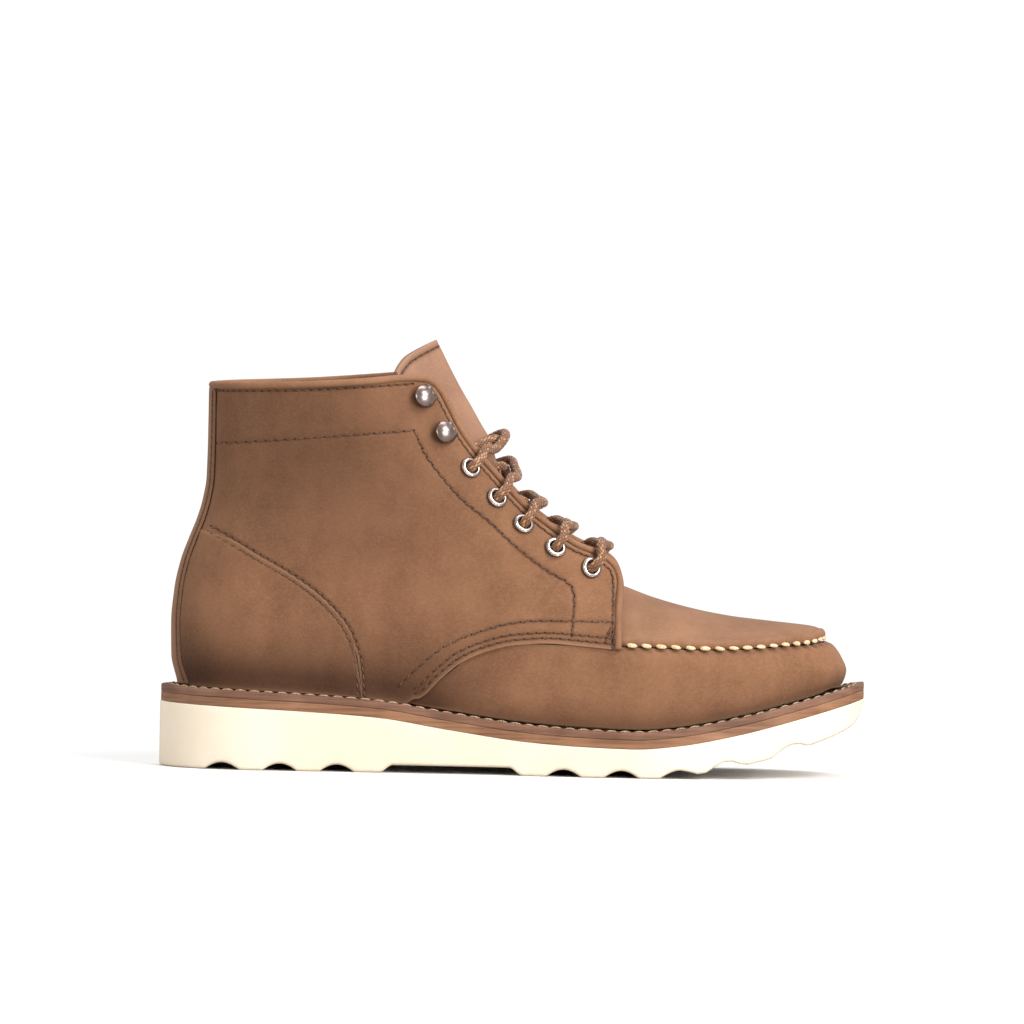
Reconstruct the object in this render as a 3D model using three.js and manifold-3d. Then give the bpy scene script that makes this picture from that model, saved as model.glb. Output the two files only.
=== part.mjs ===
// A right-foot lace-up work boot with a moc toe, a protective toe cap and a wedge sole.
// Millimetres. +X points to the toe, -Y is the outer (lateral) side, +Z is up.
// The origin is on the ground, below the middle of the boot.
//
// The upper is one lasted surface, cut into leather pieces. Pattern coordinates (x, z) are read
// in side view on the base size; the grade factors turn them into millimetres of this boot.
import * as THREE from "three";
import { mergeVertices } from "three/addons/utils/BufferGeometryUtils.js";
import Module from "manifold-3d";

const wasm = await Module();
wasm.setup();

// ---------------------------------------------------------------- driving dimensions
const SOLE_LENGTH = 305;
const SOLE_WIDTH = 108;
const BOOT_HEIGHT = 186;

const WELT_THICKNESS = 3.2;
const MIDSOLE_THICKNESS = 3.6;
const WELT_SHELF = 9;
const INSOLE_THICKNESS = 2.6;
const FOOTBED_THICKNESS = 4.5;
const SHANK_WIDTH = 15;
const SHANK_LENGTH = 112;
const SHANK_THICKNESS = 1.4;
const TREAD_GROOVE_DEPTH = 3.2;
const TREAD_GROOVE_WIDTH = 15;
const ARCH_LIFT = 3.4;

const QUARTER_LEATHER = 1.4;
const VAMP_LEATHER = 1.6;
const LINING_LEATHER = 1.0;
const STAY_LEATHER = 1.0;
const COUNTER_THICKNESS = 1.8;
const TOE_CAP_THICKNESS = 1.6;
const TONGUE_THICKNESS = 2.4;
const BACKSTAY_THICKNESS = 1.1;
const BACKSTAY_HALF_WIDTH = 13.5;
const BACKSTAY_FLARE = 4.5;
const PIPING_RADIUS = 1.5;
const MOC_LIP_HEIGHT = 3;

const LACE_DIAMETER = 4.4;
const EYELET_FLANGE_RADIUS = 4.75;
const EYELET_WALL = 0.6;
const FLANGE_THICKNESS = 0.7;
const HOOK_RADIUS = 5.2;
const RIVET_RADIUS = 1.5;
const AGLET_LENGTH = 22;
const AGLET_RADIUS = 1.7;

// Clearances
const SEAM_GAP = 0.3;
const LASTING_GAP = 0.55;
const LAYER_GAP = 0.55;
const LACE_CLEARANCE = 0.3;
const EYELET_CLEARANCE = 0.35;
const EYELET_INSIDE = 1.9;
const STAY_CLEARANCE = 0.3;
const LACE_OVER_TONGUE = 1.3;

// Sizes that follow from the ones above
const VAMP_DEPTH = QUARTER_LEATHER + LAYER_GAP;
const LINING_DEPTH = QUARTER_LEATHER + LAYER_GAP;
const LACE_RADIUS = LACE_DIAMETER / 2;
const EYELET_BORE = LACE_RADIUS + LACE_CLEARANCE;
const EYELET_BARREL = EYELET_BORE + EYELET_WALL;
const EYELET_HOLE = EYELET_BARREL + EYELET_CLEARANCE;
const STAY_DEPTH = LINING_DEPTH + STAY_CLEARANCE;
const FACING_DEPTH = STAY_DEPTH + STAY_LEATHER;
const LACE_CHANNEL_DEPTH = FACING_DEPTH + EYELET_INSIDE + LACE_RADIUS;
const TONGUE_DEPTH = LACE_CHANNEL_DEPTH + LACE_RADIUS + LAYER_GAP;

// Grade factors from the base pattern to this boot
const GRADE = { x: SOLE_LENGTH / 305, y: SOLE_WIDTH / 108, z: BOOT_HEIGHT / 186 };

// ---------------------------------------------------------------- curves
// A smooth curve through a few points [position, value] that never overshoots them.
function curve(points) {
  const n = points.length;
  const step = [];
  for (let i = 0; i < n - 1; i++) {
    step.push((points[i + 1][1] - points[i][1]) / (points[i + 1][0] - points[i][0]));
  }
  const slope = points.map((_, i) => {
    if (i === 0) return step[0];
    if (i === n - 1) return step[n - 2];
    if (step[i - 1] * step[i] <= 0) return 0;
    return (2 * step[i - 1] * step[i]) / (step[i - 1] + step[i]);
  });
  return (at) => {
    if (at <= points[0][0]) return points[0][1] + slope[0] * (at - points[0][0]);
    if (at >= points[n - 1][0]) return points[n - 1][1] + slope[n - 1] * (at - points[n - 1][0]);
    let i = 0;
    while (at > points[i + 1][0]) i++;
    const h = points[i + 1][0] - points[i][0];
    const t = (at - points[i][0]) / h;
    const a = points[i][1];
    const b = points[i + 1][1];
    return (
      a * (1 + 2 * t) * (1 - t) ** 2 +
      slope[i] * h * t * (1 - t) ** 2 +
      b * t * t * (3 - 2 * t) +
      slope[i + 1] * h * t * t * (t - 1)
    );
  };
}

// A smooth line through pattern points, walked at even speed from 0 to 1.
function line(points) {
  const spline = new THREE.SplineCurve(points.map(([x, z]) => new THREE.Vector2(x, z)));
  return (t) => {
    const p = spline.getPointAt(Math.min(Math.max(t, 0), 1));
    return [p.x, p.y];
  };
}

const mix = (a, b, t) => a + (b - a) * t;
const smooth = (t) => {
  const s = Math.min(Math.max(t, 0), 1);
  return s * s * (3 - 2 * s);
};

// ---------------------------------------------------------------- the lasted surface
// Back and front of the horizontal section at each height. Above the vamp the front is the
// ridge that the closed section would have over the tongue.
const backX = curve([
  [20, -141.5], [36, -143.6], [48, -146.4], [62, -146.7], [76, -145.6], [88, -143.2],
  [98, -139.7], [107, -136.2], [116, -133.7], [125, -132.4], [145, -132], [190, -132],
]);
const frontX = curve([
  [20, 138], [34, 142], [46, 145.9], [52, 143.6], [58, 139], [61, 134], [65, 118], [70, 96],
  [75, 76], [80, 63], [85.3, 54.5], [91.8, 50.5], [96.4, 45], [107.8, 24.2], [123.5, 6.1],
  [138.8, -7.8], [157.6, -19.9], [172, -28.5], [183, -34], [190, -37.5],
]);
const backRound = curve([[20, 38], [60, 38], [100, 42], [173, 46]]);
const frontRound = curve([[20, 72], [60, 72], [75, 66], [90, 54], [110, 46], [190, 46]]);

// Half widths of the flat of the section, at six stations along the boot.
const STATION_X = [-110, -60, -10, 40, 75, 125];
const STATION_WIDTH = [
  curve([[20, 32], [35, 34], [60, 34.5], [85, 32.5], [110, 32.5], [140, 35], [190, 37.5]]),
  curve([[20, 33], [35, 35], [60, 36], [85, 36], [110, 37], [140, 39], [190, 40.5]]),
  curve([[20, 35], [35, 38], [60, 39.5], [85, 37.5], [110, 37], [140, 38], [190, 40]]),
  curve([[20, 43], [35, 47], [50, 47.5], [60, 45.5], [85, 38], [110, 37]]),
  curve([[20, 46.5], [35, 49.5], [48, 50], [60, 47], [85, 40]]),
  curve([[20, 46], [35, 49], [48, 49.5], [60, 45.5], [85, 40]]),
];

function flatWidth(x, z) {
  return curve(STATION_X.map((at, i) => [at, STATION_WIDTH[i](z)]))(
    Math.min(Math.max(x, STATION_X[0]), STATION_X[5]),
  );
}

// Walks round the section at height z. Both walks start on the centre line, at the back or at
// the front, and the sign of the walk picks the side.
function fromBack(walk, z) {
  const round = backRound(z);
  const angle = Math.min(Math.abs(walk) / round, Math.PI / 2);
  const rest = Math.max(Math.abs(walk) - (round * Math.PI) / 2, 0);
  const x = backX(z) + round * (1 - Math.cos(angle)) + rest;
  const y = flatWidth(x, z) * Math.sin(angle) * frontTaper(x, z);
  return [x, Math.sign(walk) * y, z];
}
function fromFront(walk, z) {
  const round = frontRound(z);
  const angle = Math.min(Math.abs(walk) / round, Math.PI / 2);
  const rest = Math.max(Math.abs(walk) - (round * Math.PI) / 2, 0);
  const x = frontX(z) - round * (1 - Math.cos(angle)) - rest;
  return [x, Math.sign(walk) * flatWidth(x, z) * Math.sin(angle), z];
}
function frontTaper(x, z) {
  const reach = Math.min(Math.max((frontX(z) - x) / frontRound(z), 0), 1);
  return Math.sqrt(1 - (1 - reach) ** 2);
}
// The walk from the back that reaches pattern position x at height z.
function walkTo(x, z) {
  const round = backRound(z);
  const reach = Math.max(x - backX(z), 0);
  if (reach >= round) return (round * Math.PI) / 2 + reach - round;
  return round * Math.acos(1 - reach / round);
}
function walkFromFront(x, z) {
  const round = frontRound(z);
  const reach = Math.max(frontX(z) - x, 0);
  if (reach >= round) return (round * Math.PI) / 2 + reach - round;
  return round * Math.acos(1 - reach / round);
}

const toSize = ([x, y, z]) => new THREE.Vector3(x * GRADE.x, y * GRADE.y, z * GRADE.z);

// The foot's curve: the centre line swings to the inner side at the toe.
const swing = curve([[-153, 0.6], [-60, 0.8], [-10, -2], [50, -1], [100, 2.2], [153, 6]]);
function swung(v) {
  return new THREE.Vector3(v.x, v.y + swing(v.x / GRADE.x) * GRADE.y, v.z);
}

// A point of a surface patch, moved along the outward normal.
function lifted(patch, u, v, offset) {
  const e = 1e-3;
  const p = toSize(patch(u, v));
  const du = toSize(patch(u + e, v)).sub(toSize(patch(u - e, v)));
  const dv = toSize(patch(u, v + e)).sub(toSize(patch(u, v - e)));
  const normal = du.cross(dv).normalize();
  if (normal.dot(outward(p)) < 0) normal.negate();
  return { point: p.addScaledVector(normal, offset), normal };
}
// Roughly outward: away from a spine that runs inside the boot.
function outward(p) {
  const x = Math.min(Math.max(p.x, -95 * GRADE.x), 70 * GRADE.x);
  const z = p.x > 20 * GRADE.x ? 45 * GRADE.z : Math.max(p.z, 60 * GRADE.z);
  return new THREE.Vector3(p.x - x, p.y, p.z > z || p.x > 20 * GRADE.x ? (p.z - z) * 0.6 : 0);
}

// ---------------------------------------------------------------- mesh builders
function geometryOf(vertices, faces) {
  const g = new THREE.BufferGeometry();
  g.setAttribute("position", new THREE.Float32BufferAttribute(vertices.flat(), 3));
  g.setIndex(faces.flat());
  return mergeVertices(g, 1e-3);
}

function solidOf(geometry) {
  const bare = geometry.index ? geometry.toNonIndexed() : geometry.clone();
  bare.deleteAttribute("normal");
  bare.deleteAttribute("uv");
  const merged = mergeVertices(bare, 1e-3);
  const made = new wasm.Manifold(
    new wasm.Mesh({
      numProp: 3,
      vertProperties: merged.attributes.position.array,
      triVerts: new Uint32Array(merged.index.array),
    }),
  );
  if (made.volume() > 0) return made;
  const index = merged.index.array;
  for (let i = 0; i < index.length; i += 3) {
    [index[i + 1], index[i + 2]] = [index[i + 2], index[i + 1]];
  }
  return new wasm.Manifold(
    new wasm.Mesh({
      numProp: 3,
      vertProperties: merged.attributes.position.array,
      triVerts: new Uint32Array(index),
    }),
  );
}

function fromSolid(solid) {
  const m = solid.getMesh();
  const positions = new Float32Array(m.numVert * 3);
  for (let i = 0; i < m.numVert; i++) {
    positions.set(m.vertProperties.subarray(i * m.numProp, i * m.numProp + 3), i * 3);
  }
  const g = new THREE.BufferGeometry();
  g.setAttribute("position", new THREE.BufferAttribute(positions, 3));
  g.setIndex(new THREE.BufferAttribute(m.triVerts, 1));
  return g;
}

// A thin shell between an outer and an inner face. Both are grids of (columns + 1) by
// (rows + 1) points; zip leaves the last row open where its two halves meet on the centre line.
function shell(columns, rows, face, outer, inner, zip = false) {
  const vertices = [];
  const at = (side, i, j) => (side * (columns + 1) + i) * (rows + 1) + j;
  for (const offset of [outer, inner]) {
    for (let i = 0; i <= columns; i++) {
      for (let j = 0; j <= rows; j++) {
        const depth = typeof offset === "function" ? offset(i / columns, j / rows) : offset;
        const p = swung(face(i / columns, j / rows, depth));
        vertices.push([p.x, p.y, p.z]);
      }
    }
  }
  const faces = [];
  const quad = (a, b, c, d) => faces.push([a, b, c], [a, c, d]);
  for (let i = 0; i < columns; i++) {
    for (let j = 0; j < rows; j++) {
      quad(at(0, i, j), at(0, i + 1, j), at(0, i + 1, j + 1), at(0, i, j + 1));
      quad(at(1, i, j), at(1, i, j + 1), at(1, i + 1, j + 1), at(1, i + 1, j));
    }
    quad(at(1, i, 0), at(1, i + 1, 0), at(0, i + 1, 0), at(0, i, 0));
    if (!zip) quad(at(0, i, rows), at(0, i + 1, rows), at(1, i + 1, rows), at(1, i, rows));
  }
  for (let j = 0; j < rows; j++) {
    quad(at(0, 0, j), at(0, 0, j + 1), at(1, 0, j + 1), at(1, 0, j));
    quad(at(0, columns, j), at(1, columns, j), at(1, columns, j + 1), at(0, columns, j + 1));
  }
  return solidOf(geometryOf(vertices, faces));
}

// Fills the area between four boundary lines; each gives a pattern pair at 0 to 1.
function between(bottom, top, left, right) {
  const corner = [bottom(0), bottom(1), top(0), top(1)];
  return (u, v) =>
    [0, 1].map(
      (k) =>
        mix(bottom(u)[k], top(u)[k], v) +
        mix(left(v)[k], right(v)[k], u) -
        mix(mix(corner[0][k], corner[1][k], u), mix(corner[2][k], corner[3][k], u), v),
    );
}

// A flat pattern piece on the side of the boot: its outline is in (walk from the back, z).
function sidePiece(side, columns, rows, area, outer, inner) {
  const patch = (u, v) => {
    const [walk, z] = area(u, v);
    return fromBack(side * walk, z);
  };
  return shell(columns, rows, (u, v, d) => lifted(patch, u, v, d).point, outer, inner);
}

// A round tube along hand-set points.
function tube(points, radius, steps, sides) {
  const route = new THREE.CatmullRomCurve3(points, false, "centripetal");
  const section = new THREE.Shape();
  for (let i = 0; i < sides; i++) {
    const a = (i / sides) * Math.PI * 2;
    const [x, y] = [radius * Math.cos(a), radius * Math.sin(a)];
    if (i === 0) section.moveTo(x, y);
    else section.lineTo(x, y);
  }
  return new THREE.ExtrudeGeometry(section, { extrudePath: route, steps, bevelEnabled: false });
}

// A turned piece standing at a point, its axis along a direction.
function turned(profile, segments, at, axis) {
  const g = new THREE.LatheGeometry(profile.map(([r, h]) => new THREE.Vector2(r, h)), segments);
  const turn = new THREE.Quaternion().setFromUnitVectors(new THREE.Vector3(0, 1, 0), axis);
  return g.applyQuaternion(turn).translate(at.x, at.y, at.z);
}

// ---------------------------------------------------------------- materials
const material = (color, roughness, metalness = 0) =>
  new THREE.MeshStandardMaterial({ color, roughness, metalness });
const LEATHER = material(0x93694f, 0.72);
const TONGUE_LEATHER = material(0x9f775c, 0.74);
const LINING = material(0xb08a68, 0.8);
const WELT_LEATHER = material(0x7d4f38, 0.6);
const MIDSOLE_LEATHER = material(0x8f5c3f, 0.65);
const SOLE_RUBBER = material(0xf7ead8, 0.68);
const CORK = material(0xa57c52, 0.95);
const FIBRE = material(0xb99b74, 0.9);
const STEEL = material(0x9a9ca0, 0.35, 1);
const NICKEL = material(0xcfc4bf, 0.28, 1);
const LACE_TEXTILE = material(0x8e6344, 0.85);
const PLASTIC = material(0x4a2f20, 0.4);

const boot = new THREE.Group();
boot.name = "work_boot";
function add(name, solid, finish) {
  const mesh = new THREE.Mesh(fromSolid(solid), finish);
  mesh.name = name;
  boot.add(mesh);
}

// ---------------------------------------------------------------- sole
const weltTop = curve([
  [-153, 35.3], [-91, 32.9], [-58, 30.8], [-28, 26.3], [8, 21.6], [33, 20.2], [53, 19.7],
  [70, 21.1], [95, 25.7], [128, 34.2], [153, 41.2],
]);
const SOLE_END = 152.5;
const SOLE_FLAT = curve([[-110, 40], [-60, 41], [-10, 43], [35, 51.5], [68, 53.6], [120, 53.2]]);
const SOLE_BACK_ROUND = 44;
const SOLE_FRONT_ROUND = 80;
const END_STEPS = 10;
const FLAT_STEPS = 8;
const SLAB_END = SOLE_END + 3;
const LEATHER_INSET = 0.4;
const UNDER_UPPER = 4;
const FILLER_DROP = 0.2;
const INSIDE_CLEARANCE = 3;
const FOOTBED_CLEARANCE = 0.6;

// The plan outline of the sole as seen from above, moved in by an inset.
function soleOutline(inset, sideInset) {
  const end = SOLE_END * GRADE.x - inset;
  const round = {
    back: SOLE_BACK_ROUND * GRADE.x - inset,
    front: SOLE_FRONT_ROUND * GRADE.x - inset,
  };
  const quarterTurn = (i) => 1 - Math.cos((i / END_STEPS) * (Math.PI / 2));
  const stations = [];
  for (let i = 0; i <= END_STEPS; i++) stations.push(-end + round.back * quarterTurn(i));
  for (let i = 1; i < FLAT_STEPS; i++) {
    stations.push(mix(-end + round.back, end - round.front, i / FLAT_STEPS));
  }
  for (let i = END_STEPS; i >= 0; i--) stations.push(end - round.front * quarterTurn(i));
  const half = stations.map((x) => {
    const back = Math.min((x + end) / round.back, 1);
    const front = Math.min((end - x) / round.front, 1);
    const flat = SOLE_FLAT(x / GRADE.x) * GRADE.y - sideInset;
    return [x, flat * Math.sqrt((1 - (1 - back) ** 2) * (1 - (1 - front) ** 2))];
  });
  const mirrored = half.slice(1, -1).reverse();
  const loop = [...half.map(([x, y]) => [x, -y]), ...mirrored];
  return loop.map(([x, y]) => {
    const p = swung(new THREE.Vector3(x, y, 0));
    return new THREE.Vector2(p.x, p.y);
  });
}

const planPrism = (inset, sideInset = inset) =>
  new THREE.ExtrudeGeometry(new THREE.Shape(soleOutline(inset, sideInset)), {
    depth: BOOT_HEIGHT,
    bevelEnabled: false,
  }).translate(0, 0, -1);

// A slab that follows the sole's curve between two height lines in side view.
function slab(from, to, low, high, steps = 20) {
  const outline = [];
  for (let i = 0; i <= steps; i++) {
    const x = mix(from, to, i / steps);
    outline.push(new THREE.Vector2(x * GRADE.x, high(x)));
  }
  const under = low instanceof Function ? [] : low;
  if (low instanceof Function) {
    for (let i = steps; i >= 0; i--) {
      const x = mix(from, to, i / steps);
      under.push(new THREE.Vector2(x * GRADE.x, low(x)));
    }
  }
  return new THREE.ExtrudeGeometry(new THREE.Shape([...outline, ...under]), {
    depth: SOLE_WIDTH * 1.5,
    bevelEnabled: false,
  })
    .translate(0, 0, -SOLE_WIDTH * 0.75)
    .applyMatrix4(new THREE.Matrix4().makeRotationX(Math.PI / 2));
}

const topOfWelt = (x) => weltTop(x) * GRADE.z;
const topOfMidsole = (x) => topOfWelt(x) - WELT_THICKNESS - SEAM_GAP;
const topOfOutsole = (x) => topOfMidsole(x) - MIDSOLE_THICKNESS - SEAM_GAP;

// The tread from toe to heel: lobes stand on the ground line, grooves and the arch are cut up.
const TOE_EDGE = 0.2;
const toeTip = (topOfOutsole(SOLE_END) - TOE_EDGE) / GRADE.z;
const groundLine = curve([
  [-152.5, 0], [66, 0], [80, 2.3], [107, 7.7], [126, 13.8], [144, 20.8], [149, 24.5],
  [SOLE_END, toeTip],
]);
const GROOVES = [-124.6, -99.7, -75.1, 22.5, 47.3, 71.2, 92, 120];
const ARCH = [-57, 5];
const ARCH_RAMP = 6;

function treadLine() {
  const points = [];
  for (let x = SOLE_END; x >= -SOLE_END; x -= 2.5) {
    const groove = GROOVES.reduce((deepest, at) => {
      const reach = Math.abs(x - at) / (TREAD_GROOVE_WIDTH / 2 / GRADE.x);
      return Math.max(deepest, reach < 1 ? Math.cos((reach * Math.PI) / 2) : 0);
    }, 0);
    const arch = smooth((x - ARCH[0]) / ARCH_RAMP) * smooth((ARCH[1] - x) / ARCH_RAMP);
    const z = groundLine(x) * GRADE.z + Math.max(groove * TREAD_GROOVE_DEPTH, arch * ARCH_LIFT);
    points.push(new THREE.Vector2(x * GRADE.x, Math.max(z, 0)));
  }
  return points;
}

const soleBlock = solidOf(slab(-SLAB_END, SLAB_END, treadLine(), topOfOutsole, 30));
add("outsole", soleBlock.intersect(solidOf(planPrism(0))), SOLE_RUBBER);

const plan = solidOf(planPrism(LEATHER_INSET));
const midsoleSlab = slab(-SLAB_END, SLAB_END, (x) => topOfMidsole(x) - MIDSOLE_THICKNESS,
  topOfMidsole);
add("midsole", solidOf(midsoleSlab).intersect(plan), MIDSOLE_LEATHER);

const WELT_WIDTH = WELT_SHELF + UNDER_UPPER;
const cavityPlan = solidOf(planPrism(LEATHER_INSET + WELT_WIDTH));
const weltSlab = slab(-SLAB_END, SLAB_END, (x) => topOfWelt(x) - WELT_THICKNESS, topOfWelt);
add("welt", solidOf(weltSlab).intersect(plan).subtract(cavityPlan), WELT_LEATHER);

// Inside the welt: the steel shank lies on the midsole, in a slot of the cork filler.
const fillerPlan = solidOf(planPrism(LEATHER_INSET + WELT_WIDTH + SEAM_GAP));
const fillerTop = (x) => topOfWelt(x) - FILLER_DROP;
const SHANK_REAR = -95;
const shankFront = SHANK_REAR + SHANK_LENGTH / GRADE.x;
const shankSpan = (margin) => {
  const low = (x) => topOfMidsole(x) + SEAM_GAP - margin;
  const high = (x) => topOfMidsole(x) + SEAM_GAP + SHANK_THICKNESS + margin;
  const outer = slab(SHANK_REAR - margin, shankFront + margin, low, high, 10);
  const width = SHANK_WIDTH / 2 + margin;
  const strip = new THREE.BoxGeometry(SOLE_LENGTH * 2, width * 2, BOOT_HEIGHT);
  return solidOf(outer).intersect(solidOf(strip));
};
const fillerSlab = slab(-SOLE_END, SOLE_END, (x) => topOfMidsole(x) + SEAM_GAP, fillerTop);
const filler = solidOf(fillerSlab).intersect(fillerPlan).subtract(shankSpan(SEAM_GAP));
add("bottom_filler", filler, CORK);
add("shank", shankSpan(0), STEEL);

// The insole board and the footbed lie in the lined upper.
const INSIDE_SHELF =
  WELT_SHELF + LINING_DEPTH + LINING_LEATHER + COUNTER_THICKNESS + INSIDE_CLEARANCE;
const INSIDE_SHELF_SIDE = 15.5;
const insoleLow = (x) => topOfWelt(x) + SEAM_GAP;
const insoleTop = (x) => insoleLow(x) + INSOLE_THICKNESS;
const footbedLow = (x) => insoleTop(x) + SEAM_GAP;
const footbedTop = (x) => footbedLow(x) + FOOTBED_THICKNESS;
const insideSlab = (low, high, extra) =>
  solidOf(slab(-SOLE_END, SOLE_END, low, high)).intersect(
    solidOf(planPrism(INSIDE_SHELF + extra, INSIDE_SHELF_SIDE + extra)),
  );
add("insole_board", insideSlab(insoleLow, insoleTop, 0), FIBRE);
add("footbed", insideSlab(footbedLow, footbedTop, FOOTBED_CLEARANCE), LINING);

// ---------------------------------------------------------------- seam lines of the upper
const feather = (x) => weltTop(x) + LASTING_GAP / GRADE.z;
const collarTop = curve([[-133, 166.2], [-95, 167.6], [-43, 171.4]]);
const vampSeam = curve([
  [-65, 31], [-41, 32.2], [-30.5, 41.4], [-22.2, 48.2], [-12.3, 52.9], [0.1, 56.1], [15, 57.3],
  [30, 56.4], [46.5, 55],
]);
const mocSeam = curve([
  [-40, 56.6], [46, 56.8], [80, 56.2], [100, 57], [116, 58.3], [127, 59.2], [134, 60.4],
  [146, 61.5],
]);
const plugRidge = curve([
  [36, 84.6], [49, 80.2], [60, 76.1], [75, 72], [96, 68.2], [116, 66], [127, 64.9], [134, 64.2],
]);
const FACING_EDGE = [
  [46.5, 55], [46.5, 70], [46.5, 85.3], [43.5, 91.8], [37, 96.4], [26.2, 101], [16.2, 107.8],
  [6.7, 115], [-1.9, 123.5], [-9.7, 132], [-15.8, 138.8], [-22.7, 148.1], [-27.9, 157.6],
  [-32.2, 165.3], [-36.6, 169.6], [-43, 171.4],
];
const COUNTER_SEAM = [
  [-65.4, 31.6], [-66.7, 46.6], [-69.9, 57.2], [-74.9, 65.5], [-84.8, 75.3], [-96.4, 83.4],
  [-111.4, 91.8], [-124.6, 99.1], [-133.5, 103],
];
// Moves a line of pattern points to its left, which is inwards on the facing edge.
function insetLine(points, by) {
  return points.map(([x, z], i) => {
    const before = points[Math.max(i - 1, 0)];
    const after = points[Math.min(i + 1, points.length - 1)];
    const along = new THREE.Vector2(after[0] - before[0], after[1] - before[1]).normalize();
    return [x - along.y * by, z + along.x * by];
  });
}
const EDGE_ROOM = 2 * PIPING_RADIUS + SEAM_GAP;
const QUARTER_EDGE = insetLine(FACING_EDGE, EDGE_ROOM);
const facingEdge = line(QUARTER_EDGE);
const quarterCorner = QUARTER_EDGE[QUARTER_EDGE.length - 1];

const walked = ([x, z]) => [walkTo(x, z), z];
const CENTRE_BACK = SEAM_GAP / 2;

// Lines of the quarter, from the counter seam forward to the facing edge.
const quarterBottom = (t) => {
  const x = mix(-65.2, QUARTER_EDGE[0][0], t);
  return walked([x, Math.max(vampSeam(x), feather(x))]);
};
const quarterTop = (t) => {
  const walk = mix(CENTRE_BACK, walkTo(...quarterCorner), t);
  return [walk, collarTop(fromBack(walk, 170)[0]) - EDGE_ROOM];
};
const seamWalk = COUNTER_SEAM.map(walked);
seamWalk[seamWalk.length - 1] = [CENTRE_BACK, 103.5];
const counterSeam = line(seamWalk);
const seamHeight = curve([...seamWalk].reverse());
const SEAM_SHARE = 0.62;
const quarterBack = (t) => {
  if (t < SEAM_SHARE) return counterSeam(t / SEAM_SHARE);
  const above = (t - SEAM_SHARE) / (1 - SEAM_SHARE);
  return [CENTRE_BACK, mix(103.5, collarTop(-133) - EDGE_ROOM, above)];
};
const quarterArea = between(quarterBottom, quarterTop, quarterBack, (t) => walked(facingEdge(t)));
const denserEnds = (t) => mix(t, smooth(t), 0.6);

// ---------------------------------------------------------------- eyelets and hooks, places
const EYELETS = [[32.8, 89.5], [17.3, 97.8], [3.3, 107.7], [-8.3, 118.8], [-19.9, 131.5]];
const HOOKS = [[-30.9, 146.6], [-40.1, 161.8]];

function seat([x, z], side) {
  const patch = (u, v) => fromBack(side * (walkTo(x, z) + u), z + v);
  const { point, normal } = lifted(patch, 0, 0, 0);
  return { point: swung(point), normal };
}
const SIDES = [["lateral", -1], ["medial", 1]];

function drill(seats, radius) {
  return seats
    .map(({ point, normal }) =>
      solidOf(turned([[0, -12], [radius, -12], [radius, 8], [0, 8]], 10, point, normal)),
    )
    .reduce((all, one) => all.add(one));
}

// ---------------------------------------------------------------- upper leather
const WALL_UNDERLAP = 4;
const heelZone = (x, z) => smooth((97 - z) / 9) * smooth((-40 - x) / 12);
const vampZone = (x, z) => smooth((vampSeam(x) + WALL_UNDERLAP + 12 - z) / 9) * smooth((x + 52) / 10);
const UNDER_COUNTER = LINING_DEPTH + COUNTER_THICKNESS + LAYER_GAP;
const UNDER_VAMP = VAMP_DEPTH + VAMP_LEATHER + LAYER_GAP;
const liningOffset = (area) => (u, v) => {
  const [walk, z] = area(u, v);
  const x = fromBack(walk, z)[0];
  const deeper = Math.max(
    heelZone(x, z) * (UNDER_COUNTER - LINING_DEPTH),
    vampZone(x, z) * (UNDER_VAMP - LINING_DEPTH),
  );
  return -LINING_DEPTH - deeper;
};

const STAY_BACK = [
  [24, 58.2], [25.5, 70], [25.8, 78.9], [22.9, 83.4], [14.7, 87.8], [1.4, 97.5], [-11, 108.8],
  [-20.1, 115.7], [-26.7, 121.8], [-37.5, 134.8], [-46, 147.6], [-50.5, 158], [-53, 167.4],
];
const stayBack = line(STAY_BACK);
const STAY_FRONT = insetLine(FACING_EDGE, EDGE_ROOM + 0.4).map(([x, z]) => [x, Math.max(z, 60)]);
const stayFront = line(STAY_FRONT.slice(1));
const acrossStay = (from, to) => (t) => walked([mix(from[0], to[0], t), mix(from[1], to[1], t)]);
const stayBottom = acrossStay(STAY_BACK[0], STAY_FRONT[1]);
const stayTop = acrossStay(STAY_BACK.at(-1), STAY_FRONT.at(-1));
const stayArea = between(stayBottom, stayTop, (t) => walked(stayBack(t)),
  (t) => walked(stayFront(t)));

const LINING_FRONT = 23;
const liningFront = line([
  [LINING_FRONT, weltTop(LINING_FRONT) + 0.7], [LINING_FRONT, 45],
  ...STAY_BACK.map(([x, z]) => [x - 0.7 - SEAM_GAP, z - 0.3]),
]);
const liningBottom = (t) => {
  const walk = mix(CENTRE_BACK, walkTo(LINING_FRONT, 40), t);
  return [walk, feather(fromBack(walk, 34)[0]) + 0.3];
};
const liningTop = (t) => {
  const walk = mix(CENTRE_BACK, walkTo(-54, 167.1), t);
  return [walk, collarTop(fromBack(walk, 170)[0]) - EDGE_ROOM - 0.4];
};
const liningBack = line([
  [CENTRE_BACK, liningBottom(0)[1]],
  [CENTRE_BACK, 100],
  [CENTRE_BACK, liningTop(0)[1]],
]);
const liningArea = between(liningBottom, liningTop, liningBack, (t) => walked(liningFront(t)));

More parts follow.
